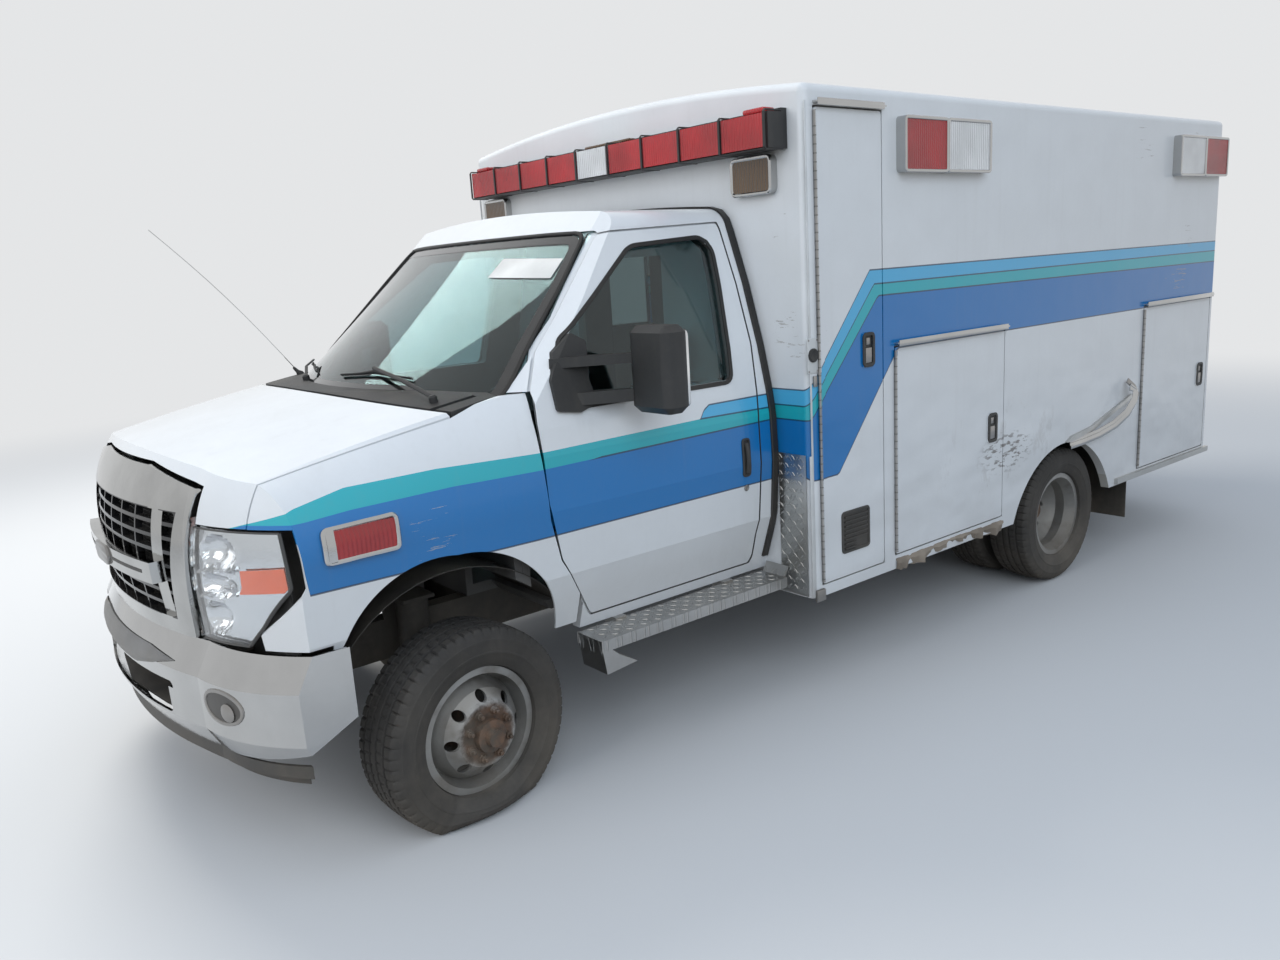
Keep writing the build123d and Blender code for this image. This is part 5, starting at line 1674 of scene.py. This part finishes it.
    def bumper(self) -> None:
        """Lays the pad, the lamp recesses with their edges, and the black inside of the intake."""
        skin = Skin(self.frame, ["front_bumper"])
        self.pad(skin)
        intake = Shape().block((700.0, -478.0, 466.0), (708.0, 478.0, 602.0))
        bottom = [(700, -478), (752, -478), (784, -300), (822, 0), (784, 300), (752, 478), (700, 478)]
        intake.prism(bottom, View.LEVEL, 466.0, 472.0)
        intake.put("intake_panel", BLACK_PLASTIC)
        rings, wells, lenses = Shape(), Shape(), Shape()
        for hand in Hand:
            y0, z0 = hand.y(self.fog[0]), self.fog[1]
            half_y, half_z = hand.y(self.fog_half[0]), self.fog_half[1]
            turns = [step * math.pi / 18 for step in range(36)]
            oval = [(half_y * math.cos(turn), half_z * math.sin(turn)) for turn in turns]
            rings.laid([skin.ahead(y0 + y, z0 + z) for y, z in oval], ridge(16, 10, 4))
            wells.sheet([
                [skin.ahead(y0 + y * share, z0 + z * share, 1.2)[0] for y, z in [*oval, oval[0]]]
                for share in (between(0.02, 1.0, ring) for ring in shares(6))
            ], 0.0)
            spot, facing = skin.ahead(hand.y(775.0), 560.0, 2.0)
            lenses.turned([(-2, 0), (-2, 30), (3, 30), (7, 24), (10, 12), (11, 0)], spot, facing, 28)
        rings.put("fog_recess_edges", DULL_CHROME)
        wells.put("fog_recesses", DARK_TRIM)
        lenses.put("fog_blanks", DULL_CHROME)

    def fender_lamps(self) -> None:
        """Frames the red lamps on the wings with chrome."""
        skin = Skin(self.frame, ["front_fenders"])
        frames, stops = Shape(), Shape()
        for hand in Hand:
            line = [skin.side(x, z, hand) for x, z in filled(rounded(self.fender_lamp, 16.0), 40.0)]
            frames.laid(line, strip(16, -2, 20, (5, 6)))
            stops.sheet([
                [skin.side(x, z, hand, 20.0)[0] for z in (1016.0, 1060.0, 1104.0)] for x in (436.0, 424.0, 410.0)
            ], 6.0)
        frames.put("fender_lamp_frames", CHROME)
        stops.put("fender_lamp_ends", CHROME)

    def liners(self) -> None:
        """Bends the black liners over the front wheels."""
        liners = Shape()
        for hand in Hand:
            for first, last, inner, outer in self.liner_parts:
                rows = []
                for share in shares(20):
                    angle = math.radians(between(first, last, share))
                    x = self.liner_radius * math.cos(angle)
                    z = self.liner_height + self.liner_radius * math.sin(angle)
                    rows.append([place(x, hand.y(between(inner, outer, part)), z) for part in shares(3)])
                liners.sheet(rows, 3.0)
        liners.put("wheel_arch_liners", CHASSIS_BLACK)

    def antenna(self) -> None:
        """Stands the bent antenna on the right wing."""
        foot = Skin(self.frame, ["front_fenders", "cowl"]).above(*self.antenna_foot)[0]
        tip = place(*self.antenna_tip)
        base = Shape().turned([(-4, 0), (-4, 17), (4, 17), (18, 9), (42, 6), (46, 0)], foot, tip - foot, 16)
        base.put("antenna_base", BLACK_PLASTIC)
        path = [foot.lerp(tip, part) + UP * 0.03 * math.sin(math.pi * part) for part in shares(8)]
        Shape().tube(path, 4.0, steps=6).put("antenna", CHROME)

    def build(self) -> None:
        """Builds all of it."""
        self.headlamps()
        self.grille()
        self.bumper()
        self.fender_lamps()
        self.liners()
        self.antenna()


@dataclass
class CabFittings:
    """Door handles, locks, mirror glasses and the seats.

    Attributes:
        pinch: how far a pad is drawn in at its edges, and again at its corners.
        channel: share of a pad's half width where its sewn channel lies.
    """

    frame: dict
    seat_y: float = 430.0
    seat_half: float = 230.0
    handle_x: Flat = (-1312, -1276)
    handle_z: Flat = (960, 1107)
    mirror_y: Flat = (1062.0, 1248.0)
    mirror_z: Flat = (1322, 1588)
    mirror_x: Flat = (-797.0, -786.0)
    cuts: int = 7
    pinch: Flat = (0.16, 0.10)
    channel: float = 0.56
    channel_half: float = 0.09
    channel_depth: float = 0.006

    def doors(self) -> None:
        """Puts a recessed handle, a lock and the mirror glass on each door."""
        (rear, front), (low, high) = self.handle_x, self.handle_z
        middle = (rear + front) / 2
        for hand in Hand:
            word = hand.word
            body = f"cab_door_{word}"
            skin = Skin(self.frame, [body])
            outline = rounded(rectangle((front, rear), (low, high)), 12.0)
            line = [skin.side(x, z, hand) for x, z in filled(outline, 30.0)]
            moulding(line, 9.0, 6.0).put(f"handle_frame_{word}", BLACK_PLASTIC, body)
            grid = [
                [skin.side(x, z, hand, 1.0)[0] for z in range(low + 4, high - 2, 20)]
                for x in (rear + 4, middle, front - 4)
            ]
            Shape().sheet(grid, 1.0).put(f"handle_dish_{word}", SEAL, body)
            path = [
                skin.side(middle, between(low + 12, high - 15, part), hand, 4.0 + 9.0 * math.sin(math.pi * part))[0]
                for part in shares(10)
            ]
            Shape().tube(path, 17.0, 8.0).put(f"handle_grip_{word}", BLACK_PLASTIC, body)
            spot, facing = skin.side(middle, 909.0, hand)
            lock = Shape().turned([(-2, 0), (-2, 13), (3, 13), (5, 10), (4, 7), (3, 0)], spot, facing, 20)
            lock.put(f"lock_{word}", DULL_CHROME, body)
            glass = rounded(rectangle(hand.span(*self.mirror_y), self.mirror_z), 26.0)
            Shape().prism(glass, View.ACROSS, *self.mirror_x, 1.5).put(f"mirror_glass_{word}", MIRROR_GLASS, body)

    def cushion(self, low: Point, high: Point, crown: float, name: str) -> bpy.types.Object:
        """Sews one stuffed pad with a crowned face and drawn-in sides.

        Args:
            low: lowest corner.
            high: highest corner.
            crown: how far its faces swell.
            name: name of the piece.

        Returns:
            The piece.
        """
        shape = Shape().block(low, high)
        bmesh.ops.subdivide_edges(shape.mesh, edges=shape.mesh.edges[:], cuts=self.cuts, use_grid_fill=True)
        middle = place(*[(a + b) / 2 for a, b in zip(low, high)])
        half = Vector([abs(b - a) / 2 * MM for a, b in zip(low, high)])
        at_edge, at_corner = self.pinch
        for vertex in shape.mesh.verts:
            away = vertex.co - middle
            share = Vector([away[axis] / half[axis] for axis in range(3)])
            for axis in range(3):
                others = [abs(share[other]) for other in range(3) if other != axis]
                pull = 1 - at_edge * max(others) ** 4 - at_corner * min(others) ** 4
                face = max(0.0, 1 - others[0] ** 2) * max(0.0, 1 - others[1] ** 2)
                vertex.co[axis] = middle[axis] + away[axis] * pull + crown * MM * (face - 0.6) * share[axis]
            if abs(abs(share.y) - self.channel) < self.channel_half:
                vertex.co -= away.normalized() * self.channel_depth
        made = shape.put(name, CLOTH, smooth=80.0)
        bevel = made.modifiers.new("round", "SUBSURF")
        bevel.levels = bevel.render_levels = 2
        return made

    def seats(self) -> None:
        """Builds the two cab seats inside the space of their solids."""
        low, high = [[value / MM for value in corner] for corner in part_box("cab_seats")]
        front, rear = high[0] - FRONT_AXLE, low[0] - FRONT_AXLE
        half = min(self.seat_half, high[1] - self.seat_y - 4)
        for hand in Hand:
            word = hand.word
            y0, y1 = hand.span(self.seat_y - half, self.seat_y + half)
            seat = (rear + 110, y0, low[2] + 150), (front, y1, low[2] + 300)
            base = self.cushion(*seat, 16.0, f"seat_cushion_{word}")
            if hand is Hand.RIGHT:
                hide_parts("cab_seats")
            back = (rear + 10, y0 + 6, low[2] + 260), (rear + 140, y1 - 6, high[2] - 190)
            self.cushion(*back, 14.0, f"seat_back_{word}")
            rest = (rear + 15, y0 + 110, high[2] - 180), (rear + 110, y1 - 110, high[2] - 4)
            self.cushion(*rest, 8.0, f"head_rest_{word}")
            stand = Shape().block((rear + 130, y0 + 50, low[2]), (front - 40, y1 - 50, low[2] + 148), 12.0)
            stand.put(f"seat_stand_{word}", CHASSIS_BLACK)
            posts = Shape()
            for side in (-60.0, 60.0):
                y = hand.y(self.seat_y) + side
                posts.tube([place(rear + 60, y, high[2] - 210), place(rear + 60, y, high[2] - 160)], 12.0)
            posts.put(f"head_rest_posts_{word}", CHROME)

    def build(self) -> None:
        """Builds all of it."""
        self.doors()
        self.seats()


@dataclass(frozen=True)
class SideDoor:
    """A door in a side of the box: its node, its side and the edges that bound it."""

    name: str
    hand: Hand
    front: float
    rear: float
    low: float
    high: float


@dataclass
class BoxFittings:
    """Latches, hinges, vents, lamp frames, guards and sockets on the box.

    Attributes:
        loose_slats: slats of the left vent that are broken short.
        lozenge: half length, half width and height of a lozenge, in metres.
        bar_line: points of the light bar's outline with its directions, as station and height.
    """

    frame: dict
    doors: Sequence[SideDoor] = (
        SideDoor("front_locker_door_left", Hand.LEFT, -1531, -1930, 485, 2340),
        SideDoor("middle_locker_door_left", Hand.LEFT, -2013, -2850, 500, 1404),
        SideDoor("rear_locker_door_left", Hand.LEFT, -4265, -5125, 488, 1404),
        SideDoor("front_locker_door_right", Hand.RIGHT, -1531, -1930, 485, 2340),
        SideDoor("entry_door_right", Hand.RIGHT, -2040, -2800, 500, 2080),
        SideDoor("rear_locker_door_right", Hand.RIGHT, -4265, -5125, 488, 1404),
    )
    side_lamps: Outline = ((-2035, -2321), (-2329, -2642), (-4534, -4845), (-4853, -5147))
    lamp_z: Flat = (2113, 2320)
    front_lamps: Outline = ((830, 1037), (-1069, -865))
    knuckle_pitch: float = 32.0
    vent_x: Flat = (-1656, -1826)
    vent_z: Flat = (588, 756)
    loose_slats: int = 2
    lozenge_pitch: float = 34.0
    lozenge: Point = (0.0135, 0.0042, 0.0022)
    torn_line: Sequence[Point] = (
        (-3480, 1187, 752), (-3600, 1196, 758), (-3740, 1212, 774), (-3870, 1232, 806),
        (-3980, 1246, 856), (-4050, 1250, 918), (-4074, 1240, 968), (-4040, 1226, 990),
    )
    spur_line: Sequence[Point] = ((-4060, 1200, 1022), (-4086, 1226, 986), (-4104, 1238, 940), (-4098, 1230, 900))
    torn_section: Outline = (
        (-24, -2), (24, -2), (24, 1), (19, 5), (9, 6), (6, 3), (-6, 3), (-9, 6), (-19, 5), (-24, 1),
    )
    skirt: Flat = (-2013.0, -2868.0)
    bar_line: Sequence[tuple[Flat, Flat]] = (
        ((-1446, 2197), (0, -1)), ((-1356, 2197), (0.3, -1)), ((-1350, 2204), (1, -0.3)),
        ((-1350, 2328), (1, 0.3)), ((-1356, 2335), (0.3, 1)), ((-1446, 2335), (0, 1)),
    )
    bar_y: Flat = (-1040.0, 1100.0)

    def slab(self, shape: Shape, hand: Hand, x: Flat, out: Flat, z: Flat, soft: float = 0.0) -> None:
        """Adds a block that stands off a side of the box, between its inner and outer face."""
        y = hand.span(BOX_HALF + out[0], BOX_HALF + out[1])
        shape.block((min(x), y[0], min(z)), (max(x), y[1], max(z)), soft)

    def ring(self, shape: Shape, hand: Hand, outline: Outline, width: float, low: float, rise: float) -> None:
        """Runs a raised frame along an outline on a side of the box, from its foot to its crest."""
        line = [place(x, hand.y(BOX_HALF), z) for x, z in filled(rounded(outline, 14.0), 400.0)]
        shape.sweep(line, strip(width, low, rise, (2, 2)), ASIDE * hand.value, closed=True)

    def latches(self) -> None:
        """Gives every side door its black latch, bright paddle and dark hinge knuckles."""
        for door in self.doors:
            name, hand, low, rear = door.name, door.hand, door.low, door.rear
            middle = (low + door.high) / 2
            length = door.high - low
            frame, paddle, knuckles = Shape(), Shape(), Shape()
            outline = rectangle((rear + 58, rear + 134), (middle - 70, middle + 70))
            self.ring(frame, hand, widened(outline, -7), 15.0, 4.0, 9.0)
            self.slab(frame, hand, (rear + 68, rear + 124), (0.5, 1.6), (middle - 60, middle + 60))
            self.slab(paddle, hand, (rear + 76, rear + 116), (1.4, 6.5), (middle - 54, middle + 8), 3.0)
            self.slab(paddle, hand, (rear + 84, rear + 108), (1.4, 3.5), (middle + 20, middle + 48), 1.0)
            frame.put(f"latch_frame_{name}", BLACK_PLASTIC, name)
            paddle.put(f"latch_paddle_{name}", DULL_CHROME, name)
            spot = place(door.front + 3.65, hand.y(BOX_HALF + 7.3), low + 12)
            barrel = Shape().tube([spot, spot + UP * (length - 24) * MM], 14.4)
            barrel.put(f"hinge_barrel_{name}", DULL_CHROME, name)
            for index in range(int((length - 40) / self.knuckle_pitch)):
                gap = spot + UP * (10 + self.knuckle_pitch * index) * MM
                knuckles.tube([gap, gap + UP * 0.005], 14.8, steps=8)
            knuckles.put(f"hinge_knuckles_{name}", DARK_TRIM, name)

    def lamp_frames(self) -> None:
        """Frames the side lamps and the flashers with chrome."""
        frames = Shape()
        for hand in Hand:
            for front, rear in self.side_lamps:
                self.ring(frames, hand, rectangle((rear, front), self.lamp_z), 13.0, -1.0, 47.0)
            for door in self.doors:
                if door.hand is hand:
                    z = (door.high + 4, door.high + 30)
                    self.slab(frames, hand, (door.front, door.rear + 4), (19.0, 25.0), z, 2.0)
        for y in self.front_lamps:
            path = [place(BOX_FRONT, a, b) for a, b in rounded(rectangle(y, (2049, 2182)), 22.0)]
            frames.sweep(path, strip(14, -1, 38, (4, 4)), ALONG, closed=True)
        frames.put("lamp_frames", CHROME)

    def vent(self, dark: Shape, hand: Hand) -> None:
        """Puts the vent with its slats on a side; on the left one some are broken short."""
        (front, rear), (low, high) = self.vent_x, self.vent_z
        self.ring(dark, hand, rectangle(self.vent_x, self.vent_z), 12.0, -1.0, 5.0)
        self.slab(dark, hand, (front - 4, rear + 4), (0.2, 1.0), (low + 4, high - 4))
        for index in range(8):
            z = low + 12 + 19 * index
            broken = hand is Hand.LEFT and index < self.loose_slats
            end, out = (front - 84, 9.0) if broken else (rear + 12, 8.0)
            self.slab(dark, hand, (front - 12, end), (1.0, out), (z, z + 6), 1.0)

    def guards(self) -> None:
        """Puts tread plate on the front corners, the socket, vents and corner brackets."""
        tread, plates, dark, steel = Shape(), Shape(), Shape(), Shape()
        for hand in Hand:
            inner, outer = hand.span(1010.0, 1156.0)
            tread.block((BOX_FRONT + 3, inner, 446.0), (BOX_FRONT + 5.5, outer, 1028.0), 0.8)
            self.slab(plates, hand, (-1464, -1480), (0.0, 4.0), (440, 1028), 1.5)
            self.slab(plates, hand, (-1476, -1486), (0.0, 3.0), (440, 2360), 1.0)
            self.vent(dark, hand)
            self.slab(steel, hand, (-1478, -1530), (0.0, 16.0), (420, 470), 4.0)
        self.slab(steel, Hand.LEFT, (-1494, -1516), (1.0, 6.0), (1300, 1342), 1.0)
        self.slab(plates, Hand.LEFT, (-1463, -1523), (0.0, 5.0), (1354, 1490), 2.0)
        plug = place(-1493.0, BOX_HALF + 4, 1424.0)
        dark.turned([(0, 0), (0, 27), (6, 27), (9, 22), (6, 17), (3, 0)], plug, ASIDE, 28)
        for x in (-1469, -1517):
            for z in (1362, 1482):
                steel.turned([(0, 0), (0, 4), (1.5, 4), (2, 0)], place(x, BOX_HALF + 5, z), ASIDE, 10)
        tread.put("corner_tread", UPRIGHT_TREAD)
        plates.put("corner_strips", WHITE_PLATE)
        dark.put("vents_and_socket", BLACK_PLASTIC)
        steel.put("corner_brackets", DULL_CHROME)

    def raised(self, shape: Shape, centre: Vector, long: Vector, wide: Vector, out: Vector) -> None:
        """Raises one lozenge with sloping sides, from its half diagonals and the plate's direction."""
        spots = (centre - long, centre - wide, centre + long, centre + wide)
        ring = [shape.mesh.verts.new(spot) for spot in spots]
        crest = centre + out * self.lozenge[2]
        top = [shape.mesh.verts.new(crest + (spot - centre) * 0.55) for spot in spots]
        faces = [shape.mesh.faces.new(top)]
        for index in range(4):
            following = (index + 1) % 4
            faces.append(shape.mesh.faces.new((ring[index], ring[following], top[following], top[index])))
        bmesh.ops.recalc_face_normals(shape.mesh, faces=faces)

    def lozenges(self) -> None:
        """Raises the lozenges of every tread plate."""
        shape = Shape()
        areas = [(place(-1410.0, hand.y(990.0) - 55.0, 512.0), ALONG, ASIDE, 27, 4) for hand in Hand]
        for hand in Hand:
            corner = place(BOX_FRONT + 5.5, hand.span(1022.0, 1144.0)[0], 470.0)
            areas.append((corner, ASIDE, UP, 4, 17))
        areas.append((place(-5395.0, -985.0, 500.0), ASIDE, ALONG, 59, 6))
        for corner, along, across, columns, rows in areas:
            out = along.cross(across)
            out = out if max(out.z, out.x) > 0.5 else -out
            for column in range(columns):
                for row in range(rows):
                    centre = corner + (along * column + across * row) * self.lozenge_pitch * MM
                    turn = 1 if (column + row) % 2 else -1
                    long = (along + across * turn).normalized() * self.lozenge[0]
                    wide = (along - across * turn).normalized() * self.lozenge[1]
                    self.raised(shape, centre, long, wide, out)
        shape.put("tread_lozenges", EXTRUSION)

    def damage(self) -> None:
        """Adds the torn strip at the left rear arch and the bent skirt edge before it."""
        line = [place(*spot) for spot in self.torn_line]
        Shape().sweep(line, self.torn_section, Vector((0.1, 1.0, 0.25))).put("torn_arch_strip", CHROME)
        spur = [place(*spot) for spot in self.spur_line]
        Shape().sweep(spur, ridge(40, 34, 4), Vector((0.0, 1.0, 0.3))).put("torn_arch_spur", DULL_CHROME)
        rows = []
        for step in range(41):
            x = between(*self.skirt, step / 40)
            wave = 10 * math.sin(step * 0.9) + 6 * math.sin(step * 2.3)
            drop = 40.0 + 18 * math.sin(step * 0.21 + 0.4) + wave * 0.5
            rows.append([
                place(x, BOX_HALF - 4, 486.0),
                place(x, BOX_HALF + 9 + wave * 0.4, 480.0 - drop * 0.4),
                place(x, BOX_HALF + 2 + wave, 480.0 - drop),
            ])
        Shape().sheet(rows, 2.0).put("bent_skirt_edge", BENT_SKIRT)

    def light_bar(self) -> None:
        """Adds the ribs, caps and bumps of the light bar."""
        caps, bumps = Shape(), Shape()
        for share in shares(9):
            y = between(*self.bar_y, share)
            line = [(place(x, y, z), Vector((ahead, 0.0, up))) for (x, z), (ahead, up) in self.bar_line]
            caps.laid(line, ridge(10, 10, 3), closed=False)
        caps.block((-1444.0, self.bar_y[0], 2196.0), (-1352.0, self.bar_y[1], 2201.0), 1.5)
        caps.put("light_bar_ribs", BLACK_PLASTIC)
        for y in (-980.0, 1010.0):
            bumps.block((-1450.0, y - 55, 2332.0), (-1385.0, y + 55, 2352.0), 8.0)
        bumps.put("light_bar_bumps", RED_LENS)
        middle = Shape().block((-1472.0, -120.0, 2340.0), (-1430.0, 210.0, 2352.0), 5.0)
        middle.put("light_bar_shelf", AMBER_LENS)

    def rear(self) -> None:
        """Gives the rear doors handles, and the rear and entry doors their window seals."""
        seal = ridge(18, 12, 5)
        for hand in Hand:
            word = hand.word
            door = f"rear_door_{word}"
            inner, outer = hand.span(22.0, 92.0)
            latch = Shape().block((BOX_REAR - 8, inner, 1000.0), (BOX_REAR + 1, outer, 1150.0), 3.0)
            latch.put(f"rear_latch_{word}", BLACK_PLASTIC, door)
            paddle = Shape().block((BOX_REAR - 13, inner + 16, 1012.0), (BOX_REAR - 6, outer - 16, 1090.0), 3.0)
            paddle.put(f"rear_paddle_{word}", DULL_CHROME, door)
            window = rounded(rectangle(hand.span(130.0, 510.0), (1480, 2010)), 6.0)
            path = [place(BOX_REAR, a, b) for a, b in window]
            Shape().sweep(path, seal, -ALONG, closed=True).put(f"rear_window_seal_{word}", SEAL, door)
            lamp = rounded(rectangle(hand.span(880.0, 1090.0), (690, 830)), 14.0)
            path = [place(BOX_REAR, a, b) for a, b in lamp]
            Shape().sweep(path, ridge(16, 16, 7), -ALONG, closed=True).put(f"rear_lamp_frame_{word}", CHROME)
        window = rounded(rectangle((-2630.0, -2210.0), (1440, 1940)), 6.0)
        path = [place(x, -BOX_HALF, z) for x, z in window]
        Shape().sweep(path, seal, -ASIDE, closed=True).put("entry_window_seal", SEAL, "entry_door_right")

    def build(self) -> None:
        """Builds all of it."""
        self.latches()
        self.lamp_frames()
        self.guards()
        self.lozenges()
        self.damage()
        self.light_bar()
        self.rear()


# ---- the whole


CAD_FINISHES: Sequence[tuple[Finish, str]] = (
    (CHASSIS_BLACK, "chassis_frame front_axle rear_axle knuckle_left knuckle_right radiator"),
    (CAB_PAINT, "cab_shell front_fenders hood cab_door_left cab_door_right"),
    (BOX_PAINT, "box_side_walls box_front_wall box_rear_wall box_roof front_locker_door_left"),
    (BOX_PAINT, "middle_locker_door_left rear_locker_door_left front_locker_door_right entry_door_right"),
    (BOX_PAINT, "rear_locker_door_right rear_door_left rear_door_right"),
    (BLACK_PLASTIC, "cowl mirror_left mirror_right air_dam dashboard light_bar"),
    (WINDOW, "windshield door_glass_left door_glass_right"),
    (DARK_WINDOW, "entry_door_glass rear_door_glass_left rear_door_glass_right"),
    (ALUMINIUM, "box_floor locker_liners"),
    (GREY_PLASTIC, "cab_floor"),
    (UNDER_STEEL, "tank_and_exhaust"),
    (CAST, "engine_block"),
    (LAMINATE, "cabinets"),
    (CLOTH, "cab_seats"),
    (GRILLE_PLATING, "grille"),
    (CHROME, "front_bumper"),
    (WHITE_LENS, "headlamps clear_lamps"),
    (RED_LENS, "red_lamps"),
    (AMBER_LENS, "amber_lamps"),
    (EXTRUSION, "box_trim"),
    (LEVEL_TREAD, "running_boards rear_step"),
    (FLAP, "mud_flaps"),
)


def main() -> None:
    """Builds the scene in order."""
    logging.basicConfig(level=logging.INFO, format="%(name)s %(message)s")
    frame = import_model()
    Studio().build()
    for finish, nodes in CAD_FINISHES:
        for node in nodes.split():
            dress(frame, node, finish)
    Wheels().build(frame)
    for part in (Glazing, Nose, CabFittings, BoxFittings):
        part(frame).build()


if __name__ == "__main__":
    main()
